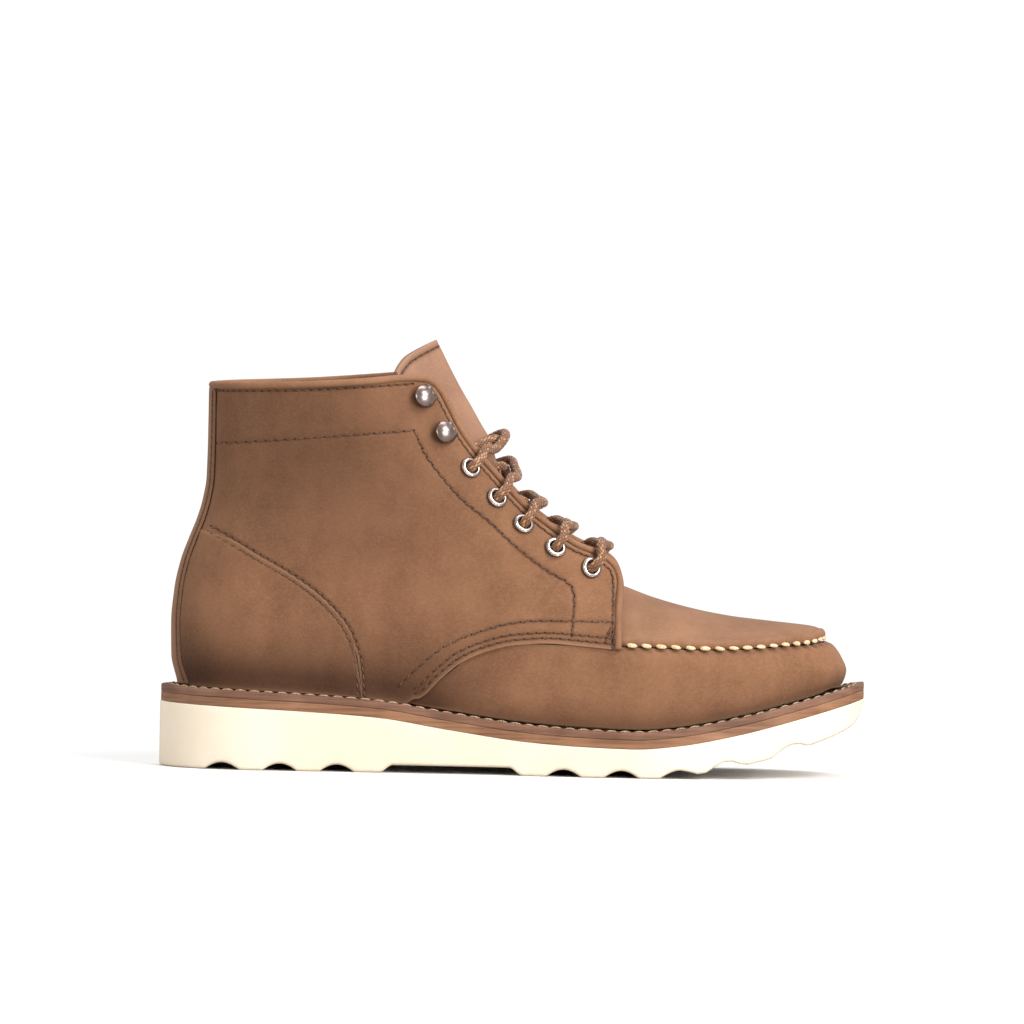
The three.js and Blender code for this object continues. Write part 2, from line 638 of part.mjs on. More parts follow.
for (const [name, side] of SIDES) {
  const holes = EYELETS.map((at) => seat(at, side));
  const pins = HOOKS.map((at) => seat(at, side));
  const cut = drill(holes, EYELET_HOLE).add(drill(pins, RIVET_RADIUS + EYELET_CLEARANCE));

  const quarterColumns = (u, v) => quarterArea(denserEnds(u), v);
  const quarter = sidePiece(side, 14, 18, quarterColumns, 0, -QUARTER_LEATHER);
  add("quarter_" + name, quarter.subtract(cut), LEATHER);
  const stay = sidePiece(side, 4, 16, stayArea, -STAY_DEPTH, -FACING_DEPTH);
  add("facing_stay_" + name, stay.subtract(cut), LEATHER);

  const cover = (u, v) => {
    const walk = mix(CENTRE_BACK, walkTo(-66.4, 34), 1 - Math.max(1 - u, 0) ** 1.25);
    const low = feather(fromBack(walk, 34)[0]);
    return [walk, mix(low, seamHeight(walk + 2 * SEAM_GAP) - 2 * SEAM_GAP, v)];
  };
  const coverPiece = sidePiece(side, 16, 6, cover, 0, -QUARTER_LEATHER);
  add("counter_cover_" + name, coverPiece, LEATHER);

  const offset = liningOffset(liningArea);
  const lining = sidePiece(side, 12, 11, liningArea, offset, (u, v) => offset(u, v) - LINING_LEATHER);
  add("lining_" + name, lining, LINING);
}

// The backstay covers the seam down the back, on top of the quarters.
const backstayFace = (u, v) => {
  const z = mix(feather(-146) + 0.3, collarTop(-133) - EDGE_ROOM, v);
  const half = BACKSTAY_HALF_WIDTH + BACKSTAY_FLARE * (1 - v) ** 4;
  return fromBack(mix(-half, half, u), z);
};
add(
  "backstay",
  shell(4, 13, (u, v, d) => lifted(backstayFace, u, v, d).point, LAYER_GAP + BACKSTAY_THICKNESS,
    LAYER_GAP),
  LEATHER,
);

// The stiff heel counter sits between the leather and the lining.
const counterEdge = curve([[0, 86], [40, 80], [70, 66], [92, 48]]);
const counterHalf = 92;
const counterFace = (u, v) => {
  const walk = mix(-counterHalf, counterHalf, u);
  const x = fromBack(walk, 36)[0];
  return fromBack(walk, mix(feather(x) + 0.4, counterEdge(Math.abs(walk)), v));
};
const counterDepth = -QUARTER_LEATHER - LAYER_GAP;
add(
  "heel_counter",
  shell(22, 4, (u, v, d) => lifted(counterFace, u, v, d).point, counterDepth,
    counterDepth - COUNTER_THICKNESS),
  FIBRE,
);

// The vamp wall runs from one quarter round the toe to the other; the plug starts at PLUG_REAR.
const PLUG_REAR = 44;
const wallTop = (x) => {
  const seamed = mocSeam(x) - SEAM_GAP / 2;
  return x > PLUG_REAR ? seamed : Math.min(seamed, vampSeam(x) + WALL_UNDERLAP);
};
const WALL_REAR = -36;
const wallHalf = walkFromFront(WALL_REAR, 35);
const wallFace = (u, v) => {
  const walk = mix(-wallHalf, wallHalf, u);
  const x = fromFront(walk, 45)[0];
  const low = feather(fromFront(walk, weltTop(x))[0]);
  const high = wallTop(fromFront(walk, mocSeam(x))[0]);
  return fromFront(walk, mix(low, high, v));
};
add(
  "vamp_wall",
  shell(38, 4, (u, v, d) => lifted(wallFace, u, v, d).point, -VAMP_DEPTH,
    -VAMP_DEPTH - VAMP_LEATHER),
  LEATHER,
);

// A dome over the toe: each column climbs from its rim to a ridge along the middle.
const PLUG_FRONT = 124;
const PLUG_CROWN = 2.2;
const LIP_SHARE = 0.04;
const plugRim = (walk, extra) => {
  const z = mocSeam(fromFront(walk, 60)[0]);
  const rim = toSize(fromFront(walk, z));
  const centre = new THREE.Vector3(Math.min(rim.x, 92 * GRADE.x), 0, rim.z);
  rim.addScaledVector(centre.sub(rim).normalize(), VAMP_DEPTH + extra);
  return rim.setZ(rim.z + SEAM_GAP / 2);
};
const plugHalf = walkFromFront(PLUG_REAR, 57);
const plugFace = (u, v, offset) => {
  const walk = mix(-plugHalf, plugHalf, u);
  const point = (at, share) => {
    const rim = plugRim(at, 0);
    const along = (rim.x / GRADE.x - PLUG_REAR) / (frontX(60) - PLUG_REAR);
    const ridgeX = mix(PLUG_REAR, PLUG_FRONT, along);
    const crown = 1 - Math.abs(1 - share) ** PLUG_CROWN;
    const lip = MOC_LIP_HEIGHT * Math.min(share / LIP_SHARE, 1);
    const rise = plugRidge(ridgeX) * GRADE.z - rim.z - lip;
    const height = rim.z + lip + rise * crown;
    return new THREE.Vector3(mix(rim.x, ridgeX * GRADE.x, share), rim.y * (1 - share), height);
  };
  if (v === 0) return plugRim(walk, -offset);
  return domeOffset(point, walk, v ** 1.6, offset);
};
// Moves a point of a dome along its normal; on the ridge the normal stays in the middle plane.
function domeOffset(point, walk, share, offset) {
  const e = 1e-3;
  const along = point(walk + e, share).sub(point(walk - e, share));
  const across = point(walk, share + e).sub(point(walk, share - e));
  const normal = along.cross(across);
  if (normal.z < 0) normal.negate();
  if (share === 1) normal.setY(0);
  return point(walk, share).addScaledVector(normal.normalize(), offset);
}
add("vamp_plug", shell(32, 6, plugFace, 0, -VAMP_LEATHER, true), LEATHER);

// Domes under the vamp, with a rounded square section: the steel toe cap and the vamp lining.
const DOME_REAR = 46;
const DOME_RIDGE_END = 104;
const DOME_SQUARENESS = 2.3;
function innerDome(columns, rows, rear, depth, thickness) {
  const half = walkFromFront(rear, 50);
  const face = (u, v, offset) => {
    const walk = mix(-half, half, u);
    const point = (at, turn) => {
      const level = (x) => weltTop(x) + 3;
      const rim = toSize(fromFront(at, level(fromFront(at, 40)[0])));
      const centre = new THREE.Vector3(Math.min(rim.x, 80 * GRADE.x), 0, rim.z);
      rim.addScaledVector(centre.sub(rim).normalize(), depth);
      const along = (rim.x / GRADE.x - DOME_REAR) / (frontX(46) - DOME_REAR);
      const ridgeX = mix(DOME_REAR, DOME_RIDGE_END, along);
      const ridge = plugRidge(ridgeX) * GRADE.z - depth + VAMP_DEPTH - LAYER_GAP;
      const beside = Math.abs(Math.cos((turn * Math.PI) / 2)) ** (2 / DOME_SQUARENESS);
      const up = Math.sin((Math.min(turn, 1) * Math.PI) / 2) ** (2 / DOME_SQUARENESS);
      const share = 1 - beside;
      return new THREE.Vector3(
        mix(rim.x, ridgeX * GRADE.x, share),
        rim.y * (1 - share),
        mix(rim.z, ridge, up),
      );
    };
    if (v === 0) {
      const p = point(walk, 0);
      const centre = new THREE.Vector3(Math.min(p.x, 80 * GRADE.x), 0, p.z);
      return p.addScaledVector(centre.sub(p).normalize(), -offset);
    }
    return domeOffset(point, walk, v, offset);
  };
  return shell(columns, rows, face, 0, -thickness, true);
}
const CAP_REAR = 88;
const CAP_DEPTH = VAMP_DEPTH + VAMP_LEATHER + LAYER_GAP;
add("steel_toe_cap", innerDome(24, 6, CAP_REAR, CAP_DEPTH, TOE_CAP_THICKNESS), STEEL);
const TOE_LINING_DEPTH = CAP_DEPTH + TOE_CAP_THICKNESS + LAYER_GAP;
add("lining_vamp", innerDome(26, 6, DOME_REAR, TOE_LINING_DEPTH, LINING_LEATHER), LINING);

// ---------------------------------------------------------------- tongue
const TONGUE_ROOT_Z = 87;
const TONGUE_TIP_Z = 186;
const tongueHalf = curve([[85, 24], [110, 34], [140, 38], [186, 41]]);
// How far the tongue lies under the lasted surface: it tucks below the facings and the vamp, and
// its middle comes up to the surface above the lacing.
function tongueSink(walk, z) {
  const crest = smooth(1 - Math.abs(walk) / 25) * smooth((z - 122) / 24);
  const root = 4 * (1 - smooth((z - TONGUE_ROOT_Z) / 14));
  return TONGUE_DEPTH * (1 - crest) + root;
}
const tongueFace = (u, v, depth) => {
  const across = 2 * u - 1;
  const top = TONGUE_TIP_Z - 11 * Math.abs(across) ** 2.2;
  const z = mix(TONGUE_ROOT_Z, top, v);
  const walk = across * tongueHalf(z);
  return lifted(fromFront, walk, z, depth - tongueSink(walk, z)).point;
};
add("tongue", shell(10, 13, tongueFace, 0, -TONGUE_THICKNESS), TONGUE_LEATHER);

// ---------------------------------------------------------------- piping
const PIPING_LIFT = PIPING_RADIUS - QUARTER_LEATHER;
const pipeLine = insetLine(FACING_EDGE, PIPING_RADIUS);
const collarWalk = walkTo(...pipeLine.at(-1));
const pipingHalf = (side) => {
  const facing = pipeLine.slice(0, -1).map(walked);
  const collar = [0.99, 0.8, 0.6, 0.45, 0.3, 0.15].map((t) => {
    const walk = collarWalk * t;
    return [walk, collarTop(fromBack(walk, 170)[0]) - PIPING_RADIUS];
  });
  return [...facing, ...collar].map(([walk, z]) => {
    const patch = (a, b) => fromBack(side * a, b);
    return swung(lifted(patch, walk, z, PIPING_LIFT).point);
  });
};
const backPoint = swung(
  lifted((a, b) => fromBack(a, b), 0, collarTop(-133) - PIPING_RADIUS, PIPING_LIFT).point,
);
const pipingRoute = [...pipingHalf(-1), backPoint, ...pipingHalf(1).reverse()];
add("edge_piping", solidOf(tube(pipingRoute, PIPING_RADIUS, 60, 6)), LEATHER);

// ---------------------------------------------------------------- eyelets and hooks
const OUTSIDE = 0.65;
const INSIDE = -FACING_DEPTH - 1;
const EYELET_PROFILE = [
  [EYELET_BORE, OUTSIDE + FLANGE_THICKNESS],
  [EYELET_FLANGE_RADIUS * 0.85, OUTSIDE + FLANGE_THICKNESS],
  [EYELET_FLANGE_RADIUS, OUTSIDE],
  [EYELET_BARREL, OUTSIDE],
  [EYELET_BARREL, INSIDE],
  [EYELET_FLANGE_RADIUS * 0.9, INSIDE],
  [EYELET_FLANGE_RADIUS * 0.9, INSIDE - FLANGE_THICKNESS * 0.8],
  [EYELET_BORE, INSIDE - FLANGE_THICKNESS * 0.8],
  [EYELET_BORE, OUTSIDE + FLANGE_THICKNESS],
];
const RIVET_END = INSIDE - 0.8;
const HOOK_PROFILE = [
  [0, RIVET_END], [RIVET_RADIUS, RIVET_END], [RIVET_RADIUS, OUTSIDE], [HOOK_RADIUS, OUTSIDE],
  [HOOK_RADIUS, OUTSIDE + 0.8], [3.1, OUTSIDE + 1.5], [3.1, OUTSIDE + 2.6],
  [HOOK_RADIUS, OUTSIDE + 3.4], [HOOK_RADIUS + 0.2, OUTSIDE + 4.6], [4, OUTSIDE + 6.4],
  [2, OUTSIDE + 7.2], [0, OUTSIDE + 7.4],
];
const WASHER_PROFILE = [
  [RIVET_RADIUS + SEAM_GAP, INSIDE], [3.6, INSIDE], [3.2, RIVET_END],
  [RIVET_RADIUS + SEAM_GAP, RIVET_END], [RIVET_RADIUS + SEAM_GAP, INSIDE],
];
for (const [name, side] of SIDES) {
  EYELETS.forEach((at, k) => {
    const { point, normal } = seat(at, side);
    add(`eyelet_${name}_${k + 1}`, solidOf(turned(EYELET_PROFILE, 8, point, normal)), NICKEL);
  });
  HOOKS.forEach((at, k) => {
    const { point, normal } = seat(at, side);
    add(`hook_${name}_${k + 1}`, solidOf(turned(HOOK_PROFILE, 8, point, normal)), NICKEL);
    add(`hook_washer_${name}_${k + 1}`, solidOf(turned(WASHER_PROFILE, 8, point, normal)), NICKEL);
  });
}

// ---------------------------------------------------------------- lace
// The lace comes up through each eyelet, over the edge and across to the next eyelet of the
// other side, which it enters from below. The lateral strand lies on top at each crossing.
const pipeAt = line(pipeLine);
function nearestEdge([x, z]) {
  let best = pipeAt(0);
  for (let i = 1; i <= 120; i++) {
    const p = pipeAt(i / 120);
    if (Math.hypot(p[0] - x, p[1] - z) < Math.hypot(best[0] - x, best[1] - z)) best = p;
  }
  return best;
}
const ABOVE_EYELET = OUTSIDE + FLANGE_THICKNESS + LACE_CLEARANCE + LACE_RADIUS;
const ABOVE_PIPING = PIPING_LIFT + PIPING_RADIUS + 2 * LACE_CLEARANCE + LACE_RADIUS;
const ON_TONGUE = LACE_RADIUS + LACE_OVER_TONGUE;
const CROSSING_GAP = 0.4;
const STRAND_SHIFT = 1.6;
const TUCKED_AT = [-25.6, 140];
const LACED = [...EYELETS, TUCKED_AT];

function rig(k, side) {
  const { point, normal } = seat(LACED[k], side);
  const edgeAt = nearestEdge(LACED[k]);
  const edge = seat(edgeAt, side);
  const next = seat(LACED[Math.min(k + 1, 5)], side).point;
  const before = seat(LACED[Math.max(k - 1, 0)], side).point;
  const along = next.clone().sub(before).normalize();
  const toEdge = edge.point.clone().sub(point);
  const out = toEdge.addScaledVector(normal, -toEdge.dot(normal)).normalize();
  return { point, normal, edge, edgeAt, along, out };
}
const above = (p, normal, h) => p.clone().addScaledVector(normal, h);

// Up through eyelet k and over the edge.
function riser(k, side) {
  const { point, normal, edge, along, out } = rig(k, side);
  return [
    above(point, normal, -LACE_CHANNEL_DEPTH + LACE_RADIUS * 0.6),
    above(point, normal, INSIDE - FLANGE_THICKNESS),
    above(point, normal, OUTSIDE + FLANGE_THICKNESS + 3 * LACE_CLEARANCE),
    above(point, normal, ABOVE_EYELET).addScaledVector(out, LACE_RADIUS * 0.8),
    above(point, normal, ABOVE_EYELET).addScaledVector(out, LACE_RADIUS * 2.2),
    above(edge.point, edge.normal, ABOVE_PIPING).addScaledVector(along, STRAND_SHIFT),
  ];
}
// Under the edge and along to the foot of eyelet k.
function arrival(k, side) {
  const { point, normal, edge, along, out } = rig(k, side);
  return [
    above(edge.point, edge.normal, -LACE_CHANNEL_DEPTH).addScaledVector(along, -STRAND_SHIFT),
    above(point, normal, -LACE_CHANNEL_DEPTH).addScaledVector(out, LACE_RADIUS * 1.4),
  ];
}
// From the edge of one side to the edge of the other, over the tongue.
function crossing(k, side, onTop) {
  const from = rig(k, side).edgeAt[1];
  const to = rig(k + 1, side).edgeAt[1];
  return [17, 6, -6, -17].map((walk) => {
    const t = (27 - walk) / 54;
    const z = mix(from, to, t) + 3 * (1 - Math.abs(walk) / 27);
    const lying = ON_TONGUE - tongueSink(walk, z);
    const lift = (onTop ? LACE_DIAMETER + CROSSING_GAP : 0) * smooth((20 + walk) / 20);
    const start = (ABOVE_PIPING - lying - lift) * smooth((walk - 4) / 26);
    return swung(lifted(fromFront, side * walk, z, lying + lift + start).point);
  });
}
function strand(side) {
  const route = [];
  for (let k = 0; k < EYELETS.length; k++) {
    const here = k % 2 === 0 ? side : -side;
    if (k > 0) route.push(...arrival(k, here));
    route.push(...riser(k, here), ...crossing(k, here, here < 0));
  }
  const last = EYELETS.length % 2 === 0 ? side : -side;
  const { edge } = rig(EYELETS.length, last);
  route.push(above(edge.point, edge.normal, -LACE_CHANNEL_DEPTH));
  return route;
}
const barHalf = (side) => {
  const { edgeAt } = rig(0, side);
  return [16, 8].map((walk) => {
    const z = edgeAt[1] + 3 * (1 - walk / 27) - 1.5;
    return swung(lifted(fromFront, side * walk, z, -LACE_CHANNEL_DEPTH).point);
  });
};
const laceRoute = [
  ...strand(-1).reverse(),
  ...arrival(0, -1).reverse(),
  ...barHalf(-1),
  ...barHalf(1).reverse(),
  ...arrival(0, 1),
  ...strand(1),
];
// Steps land on the hand-set points, so that the tight turns at the eyelets keep their shape.
class PointedRoute extends THREE.CatmullRomCurve3 {
  getPointAt(t, target) {
    return this.getPoint(t, target);
  }
  getTangentAt(t, target) {
    return this.getTangent(t, target);
  }
}
function laceTube(points, stepsEach, sides) {
  const route = new PointedRoute(points, false, "centripetal");
  const section = new THREE.Shape();
  for (let i = 0; i < sides; i++) {
    const a = (i / sides) * Math.PI * 2;
    section[i ? "lineTo" : "moveTo"](LACE_RADIUS * Math.cos(a), LACE_RADIUS * Math.sin(a));
  }
  const steps = (points.length - 1) * stepsEach;
  return new THREE.ExtrudeGeometry(section, { extrudePath: route, steps, bevelEnabled: false });
}
add("lace", solidOf(laceTube(laceRoute, 1, 8)), LACE_TEXTILE);
// The free ends go down between the tongue and the lining and lie on the footbed.
const LACE_ENDS = {
  lateral: [
    [-26.7, -21.9, 139.9], [-31.5, -26, 137], [-36, -29.5, 130], [-39.5, -30.5, 118],
    [-44, -29.5, 104], [-48, -29, 90], [-52, -28.5, 76], [-57, -27.5, 62], [-64, -25, 50.5],
    [-74, -21.5, 44.5], [-86, -19, 43.3], [-97, -15, 43.6], [-102.5, -8.5, 43.8],
    [-100, -1.5, 43.7], [-91, 2, 43.5], [-80, 2, 43], [-68, -1, 42.3], [-55, -5, 41],
    [-41, -8.5, 39], [-27, -10, 36.7], [-12, -10, 34.6], [4, -11, 32.7], [20, -14.5, 31.3],
    [35, -18, 30.9], [50, -18.5, 31], [63, -16.5, 32.2],
  ],
  medial: [
    [-26.6, 18.7, 139.9], [-30.5, 24.2, 137], [-36, 27.5, 130], [-39.5, 30, 118], [-44, 30, 104],
    [-48, 30, 90], [-50.5, 29.5, 76], [-51, 29, 62], [-48, 27, 50], [-41, 23, 41.5],
    [-31, 18.5, 37.5], [-19, 14.5, 35.5], [-6, 13, 33.7], [8, 15.5, 32.2], [21, 20, 31.2],
    [35, 22.5, 30.6], [49, 21, 30.2], [62, 16, 30.7], [74, 11, 32.2], [86, 9, 34.3],
    [97, 12, 36.9], [103, 19, 38.7], [100, 26.5, 38.2], [89, 30.5, 35.5], [77, 31.5, 33.4],
    [64, 31.5, 32.3],
  ],
};
const LACE_END_STEPS = 38;
for (const [name] of SIDES) {
  const points = LACE_ENDS[name].map(([x, y, z]) => new THREE.Vector3(x, y, z));
  add("lace_end_" + name, solidOf(tube(points, LACE_RADIUS, LACE_END_STEPS, 8)), LACE_TEXTILE);
  const way = points.at(-1).clone().sub(points.at(-2)).normalize();
  const start = points.at(-1).clone().addScaledVector(way, SEAM_GAP);
  const sleeve = [[0, 0], [AGLET_RADIUS, 0], [AGLET_RADIUS, AGLET_LENGTH], [0, AGLET_LENGTH]];
  add("aglet_" + name, solidOf(turned(sleeve, 8, start, way)), PLASTIC);
}

export default boot;
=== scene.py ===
"""A right-foot lace-up work boot with a moc toe and a wedge sole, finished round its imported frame.

Pattern measures are in millimetres: x runs to the toe, y to the inner side, z up from the ground.
A pattern point (x, z) is read in side view and laid on the lasted surface of the upper.
"""

import math

import bmesh
import bpy
import numpy as np
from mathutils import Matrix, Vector


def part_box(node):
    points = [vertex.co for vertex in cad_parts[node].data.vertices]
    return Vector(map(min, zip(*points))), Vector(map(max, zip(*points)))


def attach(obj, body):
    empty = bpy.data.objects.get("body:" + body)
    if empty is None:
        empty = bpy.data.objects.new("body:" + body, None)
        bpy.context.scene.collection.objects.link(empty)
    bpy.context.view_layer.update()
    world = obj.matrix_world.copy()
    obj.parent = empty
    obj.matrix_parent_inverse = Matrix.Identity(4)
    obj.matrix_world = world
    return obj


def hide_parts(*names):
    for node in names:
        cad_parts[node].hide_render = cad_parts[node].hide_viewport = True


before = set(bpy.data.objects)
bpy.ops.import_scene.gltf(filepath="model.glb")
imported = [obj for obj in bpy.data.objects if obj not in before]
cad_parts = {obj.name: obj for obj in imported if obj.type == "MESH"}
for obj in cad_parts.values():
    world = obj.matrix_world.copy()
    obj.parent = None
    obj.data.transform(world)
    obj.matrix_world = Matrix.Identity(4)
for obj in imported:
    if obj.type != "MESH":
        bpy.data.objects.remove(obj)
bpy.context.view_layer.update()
MM = 0.001
SIDES = {"lateral": -1, "medial": 1}
UP = np.array([0, 0, 1.0])

# The pattern is drawn for this size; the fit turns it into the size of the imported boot.
PATTERN_SIZE = np.array([305.0, 107.8, 186.0])
SOLE_LOW, SOLE_HIGH = (np.array(corner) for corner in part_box("outsole"))
TONGUE_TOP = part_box("tongue")[1].z
PACKED_SIZE = np.array([SOLE_HIGH[0] - SOLE_LOW[0], SOLE_HIGH[1] - SOLE_LOW[1], TONGUE_TOP])
FIT = PACKED_SIZE / (PATTERN_SIZE * MM)


# ---------------------------------------------------------------- camera
CAMERA_DISTANCE = 6.0
FIELD_WIDTH = 0.443
SENSOR = 36.0
AIM = Vector((-0.0016, 0.0, 0.1119))
ELEVATION = math.radians(1.8)
ROLL = math.radians(0.99)

camera_data = bpy.data.cameras.new("camera")
camera_data.sensor_width = SENSOR
camera_data.lens = SENSOR * CAMERA_DISTANCE / FIELD_WIDTH
camera_data.clip_end = 40
camera = bpy.data.objects.new("camera", camera_data)
bpy.context.scene.collection.objects.link(camera)
back = Vector((0, -math.cos(ELEVATION), math.sin(ELEVATION)))
camera.location = AIM + back * CAMERA_DISTANCE
camera.rotation_euler = (-back).to_track_quat("-Z", "Y").to_euler()
camera.rotation_euler.rotate_axis("Z", ROLL)
bpy.context.scene.camera = camera


# ---------------------------------------------------------------- curves
def calm_slopes(step):
    """Slopes that keep a curve from overshooting its points, from the steps between them."""
    left, right = step[:-1], step[1:]
    same = left * right > 0
    inner = np.where(same, 2 * left * right / np.where(same, left + right, 1), 0)
    return np.concatenate([step[:1], inner, step[-1:]])


def curve(points):
    """A smooth curve through [position, value] points that never overshoots them."""
    xs, ys = np.array(points, float).T
    slope = calm_slopes(np.diff(ys) / np.diff(xs))

    def at(x):
        x = np.asarray(x, float)
        i = np.clip(np.searchsorted(xs, x, side="right") - 1, 0, len(xs) - 2)
        h = xs[i + 1] - xs[i]
        t = (x - xs[i]) / h
        y = hermite(t, h, ys[i], ys[i + 1], slope[i], slope[i + 1])
        y = np.where(x < xs[0], ys[0] + slope[0] * (x - xs[0]), y)
        return np.where(x > xs[-1], ys[-1] + slope[-1] * (x - xs[-1]), y)

    return at


def hermite(t, h, a, b, slope_a, slope_b):
    return (a * (1 + 2 * t) * (1 - t) ** 2 + slope_a * h * t * (1 - t) ** 2
            + b * t * t * (3 - 2 * t) + slope_b * h * t * t * (t - 1))


def spaced(points, at):
    """Points at the shares `at` of a polyline's length."""
    points = np.asarray(points, float)
    run = run_along(points)
    at = np.clip(at, 0, 1) * run[-1]
    return np.stack([np.interp(at, run, points[:, k]) for k in range(points.shape[1])], -1)


def flowing(points, each=24, power=0.5):
    """A Catmull-Rom line through points; power 0.5 is centripetal and 0 is uniform."""
    p = np.asarray(points, float)
    p = np.vstack([2 * p[0] - p[1], p, 2 * p[-1] - p[-2]])
    out = []
    for a, b, c, d in zip(p[:-3], p[1:-2], p[2:-1], p[3:]):
        gaps = [max(np.linalg.norm(v), 1e-6) ** power for v in (b - a, c - b, d - c)]
        ta = ((b - a) / gaps[0] - (c - a) / (gaps[0] + gaps[1]) + (c - b) / gaps[1]) * gaps[1]
        tb = ((c - b) / gaps[1] - (d - b) / (gaps[1] + gaps[2]) + (d - c) / gaps[2]) * gaps[1]
        t = np.linspace(0, 1, each, endpoint=False)[:, None]
        out.append(hermite(t, 1, b, c, ta, tb))
    return np.vstack([*out, p[-2][None]])


def line(points):
    """A smooth line through pattern points, walked at even speed from 0 to 1."""
    dense = flowing(points, 32, 0)
    return lambda t: spaced(dense, np.asarray(t, float))


def length_of(points):
    return np.linalg.norm(np.diff(points, axis=0), axis=1).sum()


def run_along(points):
    """The distance from the first point of a polyline to each of its points."""
    return np.concatenate([[0], np.cumsum(np.linalg.norm(np.diff(points, axis=0), axis=1))])


def even(points, pitch):
    """Points about a pitch apart along a polyline."""
    points = np.asarray(points, float)
    return spaced(points, np.linspace(0, 1, max(int(round(length_of(points) / pitch)), 1) + 1))


def around(count):
    """Angles of an even turn, without its last point."""
    return np.linspace(0, 2 * np.pi, count, endpoint=False)


def mix(a, b, t):
    return a + (b - a) * t


def smooth(t):
    s = np.clip(t, 0, 1)
    return s * s * (3 - 2 * s)


def pairs(x, z):
    return np.stack(np.broadcast_arrays(np.asarray(x, float), np.asarray(z, float)), -1)


# ---------------------------------------------------------------- the lasted surface
back_x = curve([[20, -141.5], [36, -143.6], [48, -146.4], [62, -146.7], [76, -145.6], [88, -143.2],
                [98, -139.7], [107, -136.2], [116, -133.7], [125, -132.4], [145, -132], [190, -132]])
front_x = curve([[20, 138], [34, 142], [46, 145.9], [52, 143.6], [58, 139], [61, 134], [65, 118],
                 [70, 96], [75, 76], [80, 63], [85.3, 54.5], [91.8, 50.5], [96.4, 45],
                 [107.8, 24.2], [123.5, 6.1], [138.8, -7.8], [157.6, -19.9], [172, -28.5],
                 [183, -34], [190, -37.5]])
back_round = curve([[20, 38], [60, 38], [100, 42], [173, 46]])
front_round = curve([[20, 72], [60, 72], [75, 66], [90, 54], [110, 46], [190, 46]])
STATION_X = np.array([-110.0, -60, -10, 40, 75, 125])
STATION_WIDTH = [
    curve([[20, 32], [35, 34], [60, 34.5], [85, 32.5], [110, 32.5], [140, 35], [190, 37.5]]),
    curve([[20, 33], [35, 35], [60, 36], [85, 36], [110, 37], [140, 39], [190, 40.5]]),
    curve([[20, 35], [35, 38], [60, 39.5], [85, 37.5], [110, 37], [140, 38], [190, 40]]),
    curve([[20, 43], [35, 47], [50, 47.5], [60, 45.5], [85, 38], [110, 37]]),
    curve([[20, 46.5], [35, 49.5], [48, 50], [60, 47], [85, 40]]),
    curve([[20, 46], [35, 49], [48, 49.5], [60, 45.5], [85, 40]]),
]
SPINE_ENDS = (-95, 70)
FOREFOOT_X = 20
FOREFOOT_SPINE_Z = 45
SHAFT_SPINE_Z = 60
swing = curve([[-153, 0.6], [-60, 0.8], [-10, -2], [50, -1], [100, 2.2], [153, 6]])


def flat_width(x, z):
    """Half width of the section at x, drawn through the widths at the stations."""
    x, z = np.broadcast_arrays(np.asarray(x, float), np.asarray(z, float))
    x = np.clip(x, STATION_X[0], STATION_X[-1])
    w = np.stack([width(z) for width in STATION_WIDTH])
    gap = np.diff(STATION_X).reshape((-1,) + (1,) * x.ndim)
    slope = calm_slopes(np.diff(w, axis=0) / gap)
    i = np.clip(np.searchsorted(STATION_X, x, side="right") - 1, 0, len(STATION_X) - 2)
    h = STATION_X[i + 1] - STATION_X[i]
    ends = [np.take_along_axis(table, k[None], 0)[0] for table in (w, slope) for k in (i, i + 1)]
    return hermite((x - STATION_X[i]) / h, h, *ends)


def rounding(walk, turn):
    """How far a walk round a rounded end has turned, and its reach in the round and after it."""
    angle = np.minimum(np.abs(walk) / turn, np.pi / 2)
    return angle, turn * (1 - np.cos(angle)), np.maximum(np.abs(walk) - turn * np.pi / 2, 0)


def from_back(walk, z):
    """A point of the upper, from a walk round the section that starts at the centre back."""
    walk, z = np.broadcast_arrays(np.asarray(walk, float), np.asarray(z, float))
    angle, curved, straight = rounding(walk, back_round(z))
    x = back_x(z) + curved + straight
    front_reach = np.clip((front_x(z) - x) / front_round(z), 0, 1)
    y = flat_width(x, z) * np.sin(angle) * np.sqrt(1 - (1 - front_reach) ** 2)
    return np.stack([x, np.sign(walk) * y, z], -1)


def from_front(walk, z):
    """The same from a walk that starts at the centre front."""
    walk, z = np.broadcast_arrays(np.asarray(walk, float), np.asarray(z, float))
    angle, curved, straight = rounding(walk, front_round(z))
    x = front_x(z) - curved - straight
    return np.stack([x, np.sign(walk) * flat_width(x, z) * np.sin(angle), z], -1)


def side_walk(side):
    """The upper's patch for one side, in (walk from the centre back, height)."""
    return lambda walk, z: from_back(side * walk, z)


def walk_by(turn, reach):
    reach = np.maximum(reach, 0)
    curved = turn * np.arccos(np.clip(1 - reach / turn, -1, 1))
    return np.where(reach >= turn, turn * np.pi / 2 + reach - turn, curved)


def walk_to(x, z):
    return walk_by(back_round(z), np.asarray(x, float) - back_x(z))


def walk_from_front(x, z):
    return walk_by(front_round(z), front_x(z) - np.asarray(x, float))


def unit(v):
    return v / np.maximum(np.linalg.norm(v, axis=-1, keepdims=True), 1e-12)


